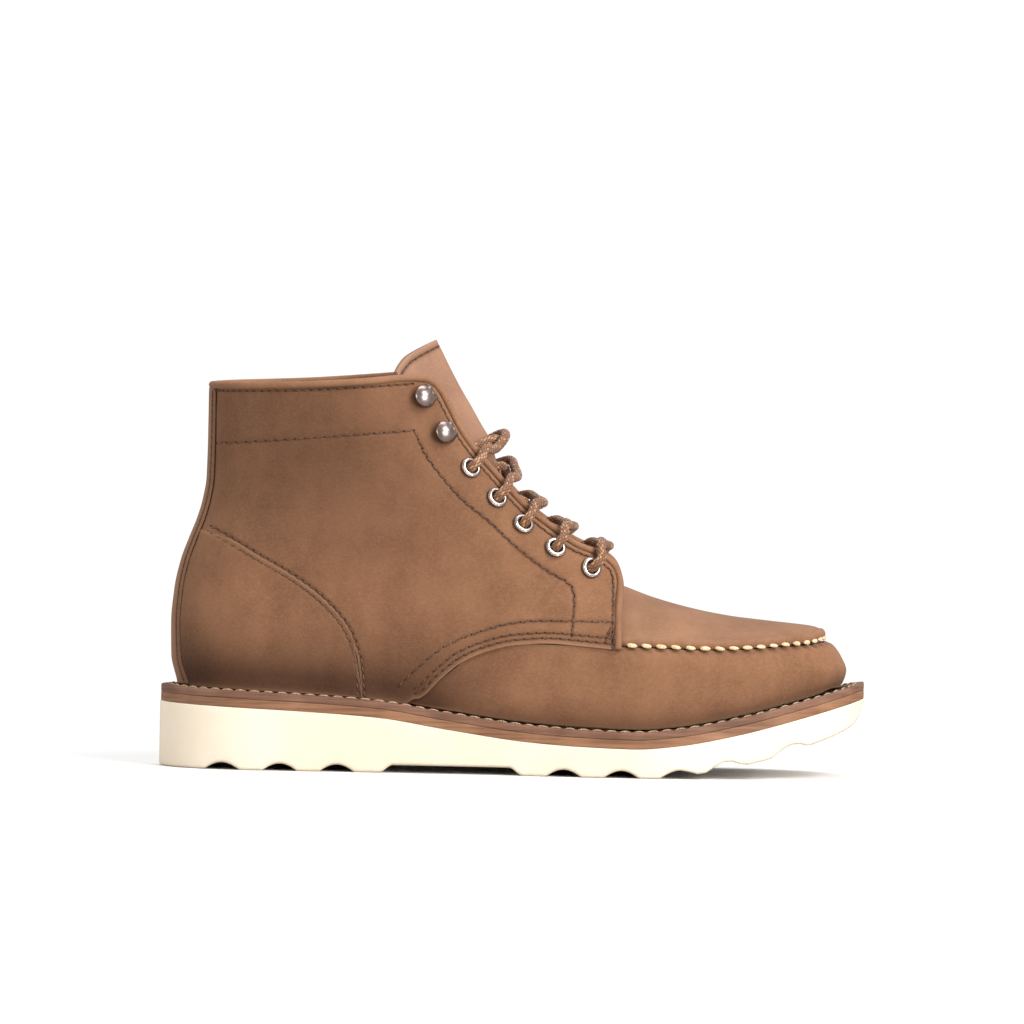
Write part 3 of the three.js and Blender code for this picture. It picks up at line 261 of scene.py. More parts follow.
def lifted(patch, u, v, offset):
    """Points of a patch moved along the outward normal, and the normals.

    Outward is away from a spine line inside the foot, which lies lower in the forefoot.
    """
    e = 1e-3
    p = patch(u, v)
    normal = unit(np.cross(patch(u + e, v) - patch(u - e, v), patch(u, v + e) - patch(u, v - e)))
    spine_x = np.clip(p[..., 0], *SPINE_ENDS)
    forward = p[..., 0] > FOREFOOT_X
    spine_z = np.where(forward, FOREFOOT_SPINE_Z, np.maximum(p[..., 2], SHAFT_SPINE_Z))
    rise = np.where(forward | (p[..., 2] > spine_z), (p[..., 2] - spine_z) * 0.6, 0)
    out = np.stack([p[..., 0] - spine_x, p[..., 1], rise], -1)
    normal = np.where((normal * out).sum(-1, keepdims=True) < 0, -normal, normal)
    return p + normal * np.asarray(offset, float)[..., None], normal


def swung(p):
    """Swings the centre line to the inner side at the toe."""
    p = np.array(p, float)
    p[..., 1] += swing(p[..., 0])
    return p


def on_side(x, z, side, offset=0.0):
    """Points and normals on one side of the upper, at pattern points."""
    x, z = np.asarray(x, float), np.asarray(z, float)
    p, normal = lifted(side_walk(side), walk_to(x, z), z, offset)
    return swung(p), normal


# ---------------------------------------------------------------- thicknesses, seam lines
QUARTER_LEATHER = 1.4
VAMP_LEATHER = 1.6
LINING_LEATHER = 1.0
STAY_LEATHER = 1.0
LAYER_GAP = 0.55
STAY_CLEARANCE = 0.3
SEAM_GAP = 0.3
LASTING_GAP = 0.55
LACE_RADIUS = 2.2
LINING_DEPTH = QUARTER_LEATHER + LAYER_GAP
STAY_DEPTH = LINING_DEPTH + STAY_CLEARANCE
FACING_DEPTH = STAY_DEPTH + STAY_LEATHER
LACE_ROOM = 1.9
LACE_CHANNEL = FACING_DEPTH + LACE_ROOM + LACE_RADIUS
TONGUE_DEPTH = LACE_CHANNEL + LACE_RADIUS + LAYER_GAP
PIPING_RADIUS = 1.5
EDGE_ROOM = 2 * PIPING_RADIUS + SEAM_GAP
CENTRE_BACK = SEAM_GAP / 2
WALL_DEPTH = 1.55

welt_top = curve([[-153, 35.3], [-91, 32.9], [-58, 30.8], [-28, 26.3], [8, 21.6], [33, 20.2],
                  [53, 19.7], [70, 21.1], [95, 25.7], [128, 34.2], [153, 41.2]])
collar_top = curve([[-133, 166.2], [-95, 167.6], [-43, 171.4]])
vamp_seam = curve([[-65, 31], [-41, 32.2], [-30.5, 41.4], [-22.2, 48.2], [-12.3, 52.9],
                   [0.1, 56.1], [15, 57.3], [30, 56.4], [46.5, 55]])
moc_seam = curve([[-40, 56.6], [46, 56.8], [80, 56.2], [100, 57], [116, 58.3], [127, 59.2],
                  [134, 60.4], [146, 61.5]])
plug_ridge = curve([[36, 84.6], [49, 80.2], [60, 76.1], [75, 72], [96, 68.2], [116, 66],
                    [127, 64.9], [134, 64.2]])
FACING_EDGE = np.array([
    [46.5, 55], [46.5, 70], [46.5, 85.3], [43.5, 91.8], [37, 96.4], [26.2, 101], [16.2, 107.8],
    [6.7, 115], [-1.9, 123.5], [-9.7, 132], [-15.8, 138.8], [-22.7, 148.1], [-27.9, 157.6],
    [-32.2, 165.3], [-36.6, 169.6], [-43, 171.4]])
COUNTER_SEAM = np.array([
    [-65.4, 31.6], [-66.7, 46.6], [-69.9, 57.2], [-74.9, 65.5], [-84.8, 75.3], [-96.4, 83.4],
    [-111.4, 91.8], [-124.6, 99.1], [-133.5, 103]])
STAY_BACK = np.array([
    [24, 58.2], [25.5, 70], [25.8, 78.9], [22.9, 83.4], [14.7, 87.8], [1.4, 97.5], [-11, 108.8],
    [-20.1, 115.7], [-26.7, 121.8], [-37.5, 134.8], [-46, 147.6], [-50.5, 158], [-53, 167.4]])
EYELETS = np.array([[32.8, 89.5], [17.3, 97.8], [3.3, 107.7], [-8.3, 118.8], [-19.9, 131.5]])
HOOKS = np.array([[-30.9, 146.6], [-40.1, 161.8]])


def feather(x):
    """The line where the upper turns in above the welt."""
    return welt_top(x) + LASTING_GAP


def inset(points, by):
    """Moves a line of pattern points to its left, which is inwards on the facing edge."""
    along = np.empty_like(points)
    along[1:-1] = points[2:] - points[:-2]
    along[0], along[-1] = points[1] - points[0], points[-1] - points[-2]
    along = unit(along)
    return points + np.stack([-along[:, 1], along[:, 0]], -1) * by


def walked(points):
    points = np.asarray(points, float)
    return pairs(walk_to(points[..., 0], points[..., 1]), points[..., 1])


def between(bottom, top, left, right):
    """Fills the area between four boundary lines."""
    zero, one = np.array(0.0), np.array(1.0)

    def area(u, v):
        u, v = np.broadcast_arrays(np.asarray(u, float), np.asarray(v, float))
        ku, kv = u[..., None], v[..., None]
        corners = mix(mix(bottom(zero), bottom(one), ku), mix(top(zero), top(one), ku), kv)
        return mix(bottom(u), top(u), kv) + mix(left(v), right(v), ku) - corners

    return area


EDGE_TUCK = 0.7
COLLAR_LEVEL = 170
SEAM_TOP = 103.5
QUARTER_START = -65.2
LANDING_RUN = 5
QUARTER_EDGE = inset(FACING_EDGE, EDGE_ROOM - EDGE_TUCK)
COLLAR_BACK = float(collar_top(-133))
BACK_TOP = COLLAR_BACK - EDGE_ROOM + EDGE_TUCK
facing_edge = line(QUARTER_EDGE)
SEAM_WALK = np.vstack([walked(COUNTER_SEAM)[:-1], [[CENTRE_BACK, SEAM_TOP]]])
counter_seam = line(SEAM_WALK)
seam_height = curve(SEAM_WALK[::-1])
SEAM_SHARE = 0.62
QUARTER_LANDS = -47


def quarter_bottom(t):
    x = mix(QUARTER_START, QUARTER_EDGE[0][0], t)
    seam = np.maximum(vamp_seam(x), feather(x))
    return walked(pairs(x, mix(feather(x), seam, smooth((x - QUARTER_LANDS) / LANDING_RUN))))


def collar_line(room):
    """The height of a line that runs `room` below the collar."""
    def at(walk):
        return collar_top(from_back(walk, COLLAR_LEVEL)[..., 0]) - room
    return at


def quarter_top(t):
    walk = mix(CENTRE_BACK, walk_to(*QUARTER_EDGE[-1]), t)
    return pairs(walk, collar_line(EDGE_ROOM - EDGE_TUCK)(walk))


def quarter_back(t):
    above = (t - SEAM_SHARE) / (1 - SEAM_SHARE)
    up = pairs(CENTRE_BACK, mix(SEAM_TOP, BACK_TOP, above))
    return np.where(t[..., None] < SEAM_SHARE, counter_seam(t / SEAM_SHARE), up)


quarter_area = between(quarter_bottom, quarter_top, quarter_back, lambda t: walked(facing_edge(t)))

COUNTER_SEAM_LINE = np.vstack([COUNTER_SEAM[:-1], [[-129.4, 101.3], [-132.2, 102.6]]])


def beside(points, by):
    return inset(flowing(points, 12, 0), by)


seam_x = np.linspace(-41.5, 43, 62)
VAMP_SEAM_LINE = np.stack([seam_x, vamp_seam(seam_x)], -1)
PIPE_LINE = inset(FACING_EDGE, PIPING_RADIUS)

# Each thread row of the quarter is its line in pattern points and its stitch pitch.
ROWS = {
    "counter_upper": (beside(COUNTER_SEAM_LINE, -1.75), 3.6),
    "counter_lower": (beside(COUNTER_SEAM_LINE, 1.05), 3.6),
    "vamp_lower": (inset(VAMP_SEAM_LINE, 2.1), 3.8),
    "vamp_upper": (inset(VAMP_SEAM_LINE, 4.4), 3.8),
    "stay_lower": (flowing([[-49.5, 36.9], [-41.3, 45], [-30.5, 54.2], [-18.1, 60.2],
                            [-4.8, 64.6], [8.4, 66.5], [25, 66.8], [42.4, 66.7]], 12, 0), 4.4),
    "stay_back": (flowing([[-44.3, 147.4], [-37.5, 134.8], [-26.7, 121.8], [-20.1, 115.7],
                           [-11, 108.8], [1.4, 97.5], [14.7, 87.8], [22.9, 83.4], [25.8, 78.9],
                           [25.6, 70], [25, 60.5]], 12, 0), 4.2),
    "shaft_band": (flowing([[-129.6, 139.9], [-87, 143.6], [-44.3, 147.4]], 20, 0), 4.2),
    "facing": (flowing(inset(FACING_EDGE[:-1], EDGE_ROOM + 0.75), 12, 0), 3.7),
}


# ---------------------------------------------------------------- mesh builders
def to_frame(points):
    return np.asarray(points, float) * FIT * MM


def make(name, points, faces, finish, body="boot"):
    """A mesh piece in pattern millimetres, riding on a body."""
    mesh = bpy.data.meshes.new(name)
    mesh.from_pydata(to_frame(np.reshape(points, (-1, 3))).tolist(), [], faces)
    mesh.validate()
    mesh.shade_smooth()
    piece = bpy.data.objects.new(name, mesh)
    bpy.context.scene.collection.objects.link(piece)
    mesh.materials.append(finish)
    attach(piece, body)
    return piece


def mark(piece, name, values):
    """Stores one number per vertex for the finish to read."""
    layer = piece.data.attributes.new(name, "FLOAT", "POINT")
    layer.data.foreach_set("value", np.asarray(values, np.float32).ravel())


def grid_faces(columns, rows, start=0, flip=False, loop=False):
    """Quads of a grid of columns by rows of vertices; a loop joins its last column to the first."""
    faces = []
    for i in range(columns if loop else columns - 1):
        for j in range(rows - 1):
            a = start + i * rows + j
            b = start + (i + 1) % columns * rows + j
            faces.append((a, a + 1, b + 1, b) if flip else (a, b, b + 1, a + 1))
    return faces


def ring_faces(count, sides, closed=False):
    """Quads between closed rings of vertices; closed also joins the last ring to the first."""
    faces = []
    for i in range(count if closed else count - 1):
        for j in range(sides):
            a, b = i * sides + j, i * sides + (j + 1) % sides
            c, d = (i + 1) % count * sides + (j + 1) % sides, (i + 1) % count * sides + j
            faces.append((a, b, c, d))
    return faces


def end_faces(count, sides):
    """The two flat ends of a row of rings."""
    return [tuple(range(sides - 1, -1, -1)), tuple((count - 1) * sides + j for j in range(sides))]


def tidied(piece, weld=None):
    """Faces all normals outwards, after joining the vertices that lie within the weld distance."""
    mesh = bmesh.new()
    mesh.from_mesh(piece.data)
    if weld:
        bmesh.ops.remove_doubles(mesh, verts=mesh.verts, dist=weld)
    bmesh.ops.recalc_face_normals(mesh, faces=mesh.faces)
    mesh.to_mesh(piece.data)
    mesh.free()


RIM_FADE = 0.9
EDGE_RADIUS = 0.35
FOLD_ANGLE = math.radians(50)
WELD = 2e-5


def sheet(name, outer, inner, finish, body="boot", seam=None, edge_radius=EDGE_RADIUS,
          open_top=False):
    """A piece of leather between an outer and an inner grid of points, with rounded edges."""
    columns, rows = outer.shape[:2]
    count = columns * rows
    faces = grid_faces(columns, rows) + grid_faces(columns, rows, count, flip=True)
    ring = [(i, 0) for i in range(columns)]
    ring += [(columns - 1, j) for j in range(1, rows)]
    ring += [(i, rows - 1) for i in range(columns - 2, -1, -1)]
    ring += [(0, j) for j in range(rows - 2, 0, -1)]
    ids = [i * rows + j for i, j in ring]
    for a, b in zip(ids, ids[1:] + ids[:1]):
        if not (open_top and a % rows == b % rows == rows - 1):
            faces.append((b, a, a + count, b + count))
    piece = make(name, np.concatenate([outer.reshape(-1, 3), inner.reshape(-1, 3)]), faces, finish,
                 body)
    tidied(piece)
    across = np.minimum(np.arange(columns), columns - 1 - np.arange(columns))[:, None]
    along = np.minimum(np.arange(rows), rows - 1 - np.arange(rows))[None]
    size = [np.linalg.norm(outer[1:, rows // 2] - outer[:-1, rows // 2], axis=-1).mean(),
            np.linalg.norm(outer[columns // 2, 1:] - outer[columns // 2, :-1], axis=-1).mean()]
    rim = np.exp(-np.minimum(across * size[0], along * size[1]) / RIM_FADE)
    mark(piece, "rim", np.concatenate([rim.ravel()] * 2))
    # The seam mark holds darker pressed seams and also painted shade.
    values = np.zeros(count) if seam is None else seam.ravel()
    mark(piece, "seam", np.concatenate([values, np.zeros(count)]))
    if edge_radius:
        bevel = piece.modifiers.new("rounded_edges", "BEVEL")
        bevel.width = edge_radius * MM
        bevel.segments = 2
        bevel.limit_method = "ANGLE"
        bevel.angle_limit = FOLD_ANGLE
    return piece


def grid(columns, rows):
    u, v = np.meshgrid(np.linspace(0, 1, columns), np.linspace(0, 1, rows), indexing="ij")
    return u, v


def wander(p, size, seed, depth=3):
    """A soft wandering value over points, between about -1 and 1, from a few sine waves."""
    draw = np.random.default_rng(seed)
    total = np.zeros(p.shape[:-1])
    for k in range(depth):
        for _ in range(4):
            way = unit(draw.normal(size=3)) * (2 ** k) * 2 * np.pi / size
            total += np.sin(p @ way + draw.uniform(0, 2 * np.pi)) / 2 ** k / 4
    return total


def tube_rings(path, radius, sides):
    """Rings of points round a path, with frames carried along without spin."""
    path = np.asarray(path, float)
    tangent = unit(np.gradient(path, axis=0))
    side = unit(np.cross(tangent[0], [0.3, 0.2, 1.0]))
    cos, sin = np.cos(around(sides))[:, None], np.sin(around(sides))[:, None]
    rings = []
    for middle, ahead, reach in zip(path, tangent, np.broadcast_to(radius, (len(path), sides))):
        side = unit(side - ahead * (side @ ahead))
        rings.append(middle + reach[:, None] * (cos * side + sin * np.cross(ahead, side)))
    return np.array(rings)


def skin(name, rings, finish, closed=False):
    """Closes rings of points into a tube with flat ends, or into a loop."""
    count, sides = rings.shape[:2]
    faces = ring_faces(count, sides, closed)
    if not closed:
        faces += end_faces(count, sides)
    piece = make(name, rings, faces, finish)
    tidied(piece)
    return piece


def axes_of(axis, forward):
    """A level pair of directions across an axis, the first of them towards forward."""
    axis, forward = unit(np.asarray(axis, float)), np.asarray(forward, float)
    a = unit(forward - axis * (forward @ axis))
    return axis, a, np.cross(axis, a)


def lathe(profile, at, axis, forward, sides):
    """Points of a turned piece; the profile is a list of (radius, height)."""
    axis, a, b = axes_of(axis, forward)
    turn = around(sides)
    ring = np.cos(turn)[:, None] * a + np.sin(turn)[:, None] * b
    profile = np.asarray(profile, float)
    return np.asarray(at, float) + ring[:, None] * profile[None, :, :1] + axis * profile[None, :, 1:]


def rounded(profile, radius, each=5):
    """Rounds the inner corners of an open profile."""
    profile = [np.array(p, float) for p in profile]
    out = [profile[0]]
    for before, corner, after in zip(profile, profile[1:], profile[2:]):
        reach = min(radius, np.linalg.norm(before - corner) / 2, np.linalg.norm(after - corner) / 2)
        start = corner + unit(before - corner) * reach
        end = corner + unit(after - corner) * reach
        for t in np.linspace(0, 1, each):
            out.append((1 - t) ** 2 * start + 2 * t * (1 - t) * corner + t * t * end)
    return np.array(out + [profile[-1]])


# ---------------------------------------------------------------- stitches
BEAD_RINGS = 7
BEAD_FULLNESS = 2.4
BEAD_TIP = 0.12


def bead(sides):
    """A rounded bar along x, from -1 to 1, for one stitch."""
    points = []
    turn = around(sides)
    for t in np.linspace(-1, 1, BEAD_RINGS):
        r = (1 - abs(t) ** BEAD_FULLNESS) ** 0.5 if abs(t) < 1 else BEAD_TIP
        points.append(np.stack([np.full(sides, t), r * np.cos(turn), r * np.sin(turn)], -1))
    return np.concatenate(points), ring_faces(BEAD_RINGS, sides) + end_faces(BEAD_RINGS, sides)


def stitches(name, rows, finish, length, width, height, seed, body="boot", lean=0.0, sink=0.0,
             sides=8):
    """One mesh of many stitches. Each row is (points, normals), a stitch between each two points.

    Length is a share of the pitch; the stitches lean across their row and sink into the leather.
    """
    shape, pattern = bead(sides)
    draw = np.random.default_rng(seed)
    points, faces = [], []
    for places, normals in rows:
        for a, b, n in zip(places[:-1], places[1:], (normals[:-1] + normals[1:]) / 2):
            n = unit(n)
            along = b - a
            pitch = np.linalg.norm(along)
            along = unit(along - n * (along @ n))
            across = np.cross(n, along)
            tilt = lean + draw.normal(0, 0.05)
            way = along * math.cos(tilt) + across * math.sin(tilt)
            cross = np.cross(n, way)
            half = pitch * length / 2 * draw.uniform(0.94, 1.04)
            wide = width / 2 * draw.uniform(0.9, 1.1)
            arch = (1 - shape[:, 0] ** 2) * height * 0.45
            centre = (a + b) / 2 + n * (height * 0.3 - sink)
            made = (centre + shape[:, :1] * way * half + shape[:, 1:2] * cross * wide
                    + shape[:, 2:] * n * (height / 2) + n * (arch - height * 0.3)[:, None])
            faces += [tuple(k + len(points) * len(shape) for k in f) for f in pattern]
            points.append(made)
    return make(name, np.concatenate(points), faces, finish, body)


HOLE_SIDES = 8
HOLE_STRETCH = 1.25


def needle_hole_shades(name, rows, radius, body="boot"):
    """Small dark dimples where the thread dives into the leather: painted shade of the needle holes."""
    points, faces = [], []
    turn, sides = around(HOLE_SIDES), HOLE_SIDES
    for places, normals in rows:
        tangent = unit(np.gradient(places, axis=0))
        for p, n, t in zip(places, normals, tangent):
            across = np.cross(n, t)
            start = len(points) * (sides + 1)
            ring = (np.cos(turn)[:, None] * t * radius * HOLE_STRETCH
                    + np.sin(turn)[:, None] * across * radius)
            points.append(np.vstack([p + ring + n * 0.01, p + n * 0.12]))
            faces += [(start + j, start + (j + 1) % sides, start + sides) for j in range(sides)]
    return make(name, np.concatenate(points), faces, HOLE_SHADE, body)


NEAR_STEP = 0.8
NEAR_BATCH = 4000


def near(points, lines, reach):
    """How close points are to any of the lines: 1 on a line, fading within the reach."""
    flat = points.reshape(-1, 3)
    best = np.full(len(flat), np.inf)
    for path in lines:
        path = even(path, NEAR_STEP)
        low, high = path.min(0) - 4 * reach, path.max(0) + 4 * reach
        inside = np.flatnonzero(((flat > low) & (flat < high)).all(1))
        for part in np.array_split(inside, max(len(inside) // NEAR_BATCH, 1)):
            if len(part):
                gap = np.linalg.norm(flat[part][:, None] - path[None], axis=-1).min(1)
                best[part] = np.minimum(best[part], gap)
    return np.exp(-(best / reach) ** 2).reshape(points.shape[:-1])


# ---------------------------------------------------------------- effects shared by the finishes
class Graph:
    """Adds nodes to a tree, each in one call."""

    def __init__(self, tree):
        self.tree = tree

    def node(self, kind, **settings):
        made = self.tree.nodes.new(kind)
        for key, value in settings.items():
            setattr(made, key, value)
        return made

    def link(self, source, target):
        self.tree.links.new(source, target)
        return target

    def feed(self, socket, value):
        if hasattr(value, "is_output"):
            self.link(value, socket)
        else:
            socket.default_value = value

    def math(self, operation, a, b=0.0, clamp=False):
        made = self.node("ShaderNodeMath", operation=operation, use_clamp=clamp)
        self.feed(made.inputs[0], a)
        self.feed(made.inputs[1], b)
        return made.outputs[0]

    def mix(self, share, a, b, blend="MIX"):
        made = self.node("ShaderNodeMix", data_type="RGBA", blend_type=blend)
        self.feed(made.inputs[0], share)
        self.feed(made.inputs[6], a)
        self.feed(made.inputs[7], b)
        return made.outputs[2]

    def scaled(self, value, by, plus):
        return self.math("ADD", self.math("MULTIPLY", value, by), plus)

    def tint(self, shade, other, mask, share):
        """Mixes another colour in where the mask says, up to a share."""
        return self.mix(self.math("MULTIPLY", mask, share), shade, other)

    def noise(self, where, scale, detail=3.0, rough=0.5, stretch=None):
        if stretch:
            mapping = self.node("ShaderNodeMapping")
            self.link(where, mapping.inputs["Vector"])
            mapping.inputs["Scale"].default_value = stretch
            where = mapping.outputs[0]
        made = self.node("ShaderNodeTexNoise")
        self.link(where, made.inputs["Vector"])
        self.feed(made.inputs["Scale"], scale)
        made.inputs["Detail"].default_value = detail
        made.inputs["Roughness"].default_value = rough
        return made.outputs["Fac"]

    def ramp(self, value, low, high):
        """0 below low, 1 above high."""
        made = self.node("ShaderNodeMapRange", interpolation_type="SMOOTHSTEP")
        self.feed(made.inputs["Value"], value)
        made.inputs["From Min"].default_value = low
        made.inputs["From Max"].default_value = high
        return made.outputs[0]

    def attribute(self, name):
        return self.node("ShaderNodeAttribute", attribute_name=name).outputs["Fac"]


def effect(name, inputs, outputs, build):
    """A shader node group; inputs and outputs are (name, socket type, default)."""
    group = bpy.data.node_groups.new(name, "ShaderNodeTree")
    for title, kind, value in inputs:
        socket = group.interface.new_socket(title, in_out="INPUT", socket_type=kind)
        if value is not None:
            socket.default_value = value
    for title, kind in outputs:
        group.interface.new_socket(title, in_out="OUTPUT", socket_type=kind)
    graph = Graph(group)
    source = graph.node("NodeGroupInput").outputs
    made = build(graph, {title: source[title] for title, _, _ in inputs})
    target = graph.node("NodeGroupOutput").inputs
    for title, value in made.items():
        graph.link(value, target[title])
    return group


FLOAT, COLOUR, VECTOR = "NodeSocketFloat", "NodeSocketColor", "NodeSocketVector"
# Multiplied in where the seam mark is: darker pressed seams and painted shade.
SEAM_AND_SHADE_TINT = (0.15, 0.11, 0.09, 1)


def build_nap(graph, given):
    """Clouds and brush marks in the nap, with pores and raised fibres."""
    where = given["Where"]
    cloud = graph.noise(where, 24.0, 4.0, 0.55)
    brushed = graph.noise(where, 70.0, 5.0, 0.65, stretch=(1.0, 1.0, 0.55))
    pores = graph.noise(where, 2100.0, 2.0, 0.6)
    fibre = graph.noise(where, 900.0, 3.0, 0.7, stretch=(0.6, 1.0, 1.0))
    mottle = graph.math("ADD", graph.math("MULTIPLY", cloud, 0.6), graph.math("MULTIPLY", brushed, 0.4))
    fine = graph.math("ADD", graph.math("MULTIPLY", pores, 0.55), graph.math("MULTIPLY", fibre, 0.45))
    shade = graph.mix(graph.ramp(mottle, 0.34, 0.66), given["Dark"], given["Light"])
    shade = graph.tint(shade, given["Tip"], graph.ramp(fine, 0.4, 0.68), 0.34)
    return {"Colour": shade, "Height": fine, "Mottle": mottle}


def build_seam_and_painted_shade(graph, given):
    """Darker where the seam mark is, which holds pressed seams and painted shade; paler where the rim mark
    is.
    """
    seam, rim = graph.attribute("seam"), graph.attribute("rim")
    dark = graph.mix(graph.math("MULTIPLY", seam, given["Seam"], True), given["Colour"],
                     graph.mix(1.0, given["Colour"], SEAM_AND_SHADE_TINT, "MULTIPLY"))
    worn = graph.mix(graph.math("MULTIPLY", rim, given["Rim"], True), dark, given["Edge"])
    return {"Colour": worn}


def build_weave(graph, given):
    """Diagonal strands over and under each other, from the run along a lace and the turn round it."""
    ways = [graph.math(operation, given["Run"], given["Turn"]) for operation in ("ADD", "SUBTRACT")]
    height = graph.math("ABSOLUTE", graph.math("MULTIPLY", *[graph.math("SINE", way) for way in ways]))
    cell = graph.node("ShaderNodeCombineXYZ")
    for way, socket in zip(ways, cell.inputs):
        graph.link(graph.math("FLOOR", graph.math("DIVIDE", way, math.pi)), socket)
    pick = graph.node("ShaderNodeTexWhiteNoise", noise_dimensions="2D")
    graph.link(cell.outputs[0], pick.inputs["Vector"])
    return {"Height": height, "Pick": pick.outputs["Value"]}


NAP = effect("brushed nap", [("Where", VECTOR, None), ("Dark", COLOUR, (0.2, 0.1, 0.05, 1)),
                             ("Light", COLOUR, (0.4, 0.2, 0.1, 1)), ("Tip", COLOUR, (0.6, 0.4, 0.3, 1))],
             [("Colour", COLOUR), ("Height", FLOAT), ("Mottle", FLOAT)], build_nap)
SEAM_AND_PAINTED_SHADE = effect("seam and painted shade", [("Colour", COLOUR, (0.4, 0.2, 0.1, 1)), ("Seam", FLOAT, 0.8),
                                   ("Rim", FLOAT, 0.5), ("Edge", COLOUR, (0.6, 0.4, 0.3, 1))],
                    [("Colour", COLOUR)], build_seam_and_painted_shade)
WEAVE = effect("plaited strands", [("Run", FLOAT, 0.0), ("Turn", FLOAT, 0.0)],
               [("Height", FLOAT), ("Pick", FLOAT)], build_weave)


def use(graph, group, **given):
    made = graph.node("ShaderNodeGroup", node_tree=group)
    for key, value in given.items():
        graph.feed(made.inputs[key], value)
    return made.outputs


def new_finish(name):
    material = bpy.data.materials.new(name)
    material.use_nodes = True
    material.node_tree.nodes.clear()
    graph = Graph(material.node_tree)
    shader = graph.node("ShaderNodeBsdfPrincipled")
    output = graph.node("ShaderNodeOutputMaterial")
    graph.link(shader.outputs[0], output.inputs["Surface"])
    where = graph.node("ShaderNodeTexCoord").outputs["Object"]
    return material, graph, shader, where


def coat(graph, shader, colour, rough, relief, depth, fixed=None):
    """Joins a colour, a roughness and a relief to a shader, and sets its fixed sockets."""
    graph.link(colour, shader.inputs["Base Color"])
    graph.feed(shader.inputs["Roughness"], rough)
    for socket, value in (fixed or {}).items():
        shader.inputs[socket].default_value = value
    made = graph.node("ShaderNodeBump")
    made.inputs["Distance"].default_value = depth
    graph.link(relief, made.inputs["Height"])
    graph.link(made.outputs[0], shader.inputs["Normal"])


def nubuck(name, dark, light, tip, edge, rough=0.84, sheen=0.06, grain=0.00016):
    """Oiled nubuck: clouded colour, a fine nap, darker along its seams and in painted shade, and paler at
    cut edges.
    """
    material, graph, shader, where = new_finish(name)
    nap = use(graph, NAP, Where=where, Dark=dark, Light=light, Tip=tip)
    shade = use(graph, SEAM_AND_PAINTED_SHADE, Colour=nap["Colour"], Seam=0.85, Rim=0.35, Edge=edge)
    coat(graph, shader, shade["Colour"], graph.scaled(nap["Mottle"], 0.16, rough - 0.08), nap["Height"],
         grain, {"Sheen Weight": sheen, "Sheen Roughness": 0.45, "Sheen Tint": (1.0, 0.82, 0.68, 1),
                 "Specular IOR Level": 0.22})
    return material


def thread(name, colour, dark, twist=2600.0):
    """Waxed thread, with the turns of its ply."""
    material, graph, shader, where = new_finish(name)
    ply = graph.noise(where, twist, 2.0, 0.5, stretch=(1.0, 1.0, 0.4))
    coat(graph, shader, graph.mix(graph.ramp(ply, 0.35, 0.65), dark, colour), 0.6, ply, 0.00015)
    return material


def cut_edge(name, dark, light, streak, rough):
    """The burnished edge of stacked sole leather, with streaks along it."""
    material, graph, shader, where = new_finish(name)
    streaks = graph.noise(where, 120.0, 6.0, 0.65, stretch=(0.22, 0.22, 7.0))
    clouds = graph.noise(where, 55.0, 3.0, 0.5, stretch=(0.6, 0.6, 1.0))
    shade = graph.mix(graph.ramp(streaks, 0.32, 0.68), dark, light)
    shade = graph.tint(shade, streak, graph.ramp(clouds, 0.45, 0.7), 0.65)
    coat(graph, shader, shade, graph.scaled(clouds, 0.25, rough), streaks, 0.00022,
         {"Specular IOR Level": 0.4})
    return material


def wedge_rubber(name):
    """Blown cream rubber: a fine closed-cell skin with a few faint clouds."""
    material, graph, shader, where = new_finish(name)
    cloud = graph.noise(where, 18.0, 3.0)
    cells = graph.noise(where, 1500.0, 2.0, 0.7)
    shade = graph.mix(graph.ramp(cloud, 0.35, 0.7), (0.80, 0.69, 0.54, 1), (0.87, 0.77, 0.62, 1))
    shade = graph.tint(shade, (0.6, 0.45, 0.3, 1), graph.ramp(cells, 0.62, 0.8), 0.12)
    coat(graph, shader, shade, graph.scaled(cells, 0.2, 0.5), cells, 0.00012,
         {"Subsurface Weight": 0.12, "Subsurface Scale": 0.003})
    return material


def plated(name, colour, rough):
    """Plated steel with fine scratches and a little haze."""
    material, graph, shader, where = new_finish(name)
    haze = graph.noise(where, 420.0, 4.0)
    lines = graph.noise(where, 900.0, 3.0, 0.6, stretch=(1.0, 0.15, 1.0))
    dull = tuple(0.72 * c for c in colour[:3]) + (1,)
    coat(graph, shader, graph.mix(graph.ramp(haze, 0.4, 0.75), colour, dull),
         graph.scaled(lines, 0.12, rough), lines, 0.00001, {"Metallic": 1.0})
    return material


def braid(name, base, fleck, dark):
    """Waxed round lace: plaited strands, some of them in the lighter colour, with painted shade in the
    dips between strands.
    """
    material, graph, shader, where = new_finish(name)
    weave = use(graph, WEAVE, Run=graph.attribute("run"), Turn=graph.attribute("turn"))
    strand = graph.mix(graph.ramp(weave["Pick"], 0.66, 0.7), base, fleck)
    # Painted shade: the dark colour fills the dips between strands.
    shade = graph.mix(graph.ramp(weave["Height"], 0.02, 0.5), dark, strand)
    fuzz = graph.noise(where, 3000.0, 2.0, 0.6)
    shade = graph.tint(shade, dark, graph.ramp(fuzz, 0.5, 0.8), 0.3)
    relief = graph.math("ADD", weave["Height"], graph.math("MULTIPLY", fuzz, 0.4))
    coat(graph, shader, shade, 0.52, relief, 0.0003, {"Sheen Weight": 0.15})
    return material


def plain(name, dark, light, scale, rough, depth):
    """A board, cork, lining or moulded finish: two tones of one grain."""
    material, graph, shader, where = new_finish(name)
    grain = graph.noise(where, scale, 4.0, 0.6)
    cloud = graph.noise(where, scale / 12, 3.0)
    shade = graph.mix(graph.ramp(grain, 0.35, 0.65), dark, light)
    shade = graph.tint(shade, dark, graph.ramp(cloud, 0.4, 0.7), 0.35)
    coat(graph, shader, shade, graph.scaled(cloud, 0.15, rough), grain, depth)
    return material


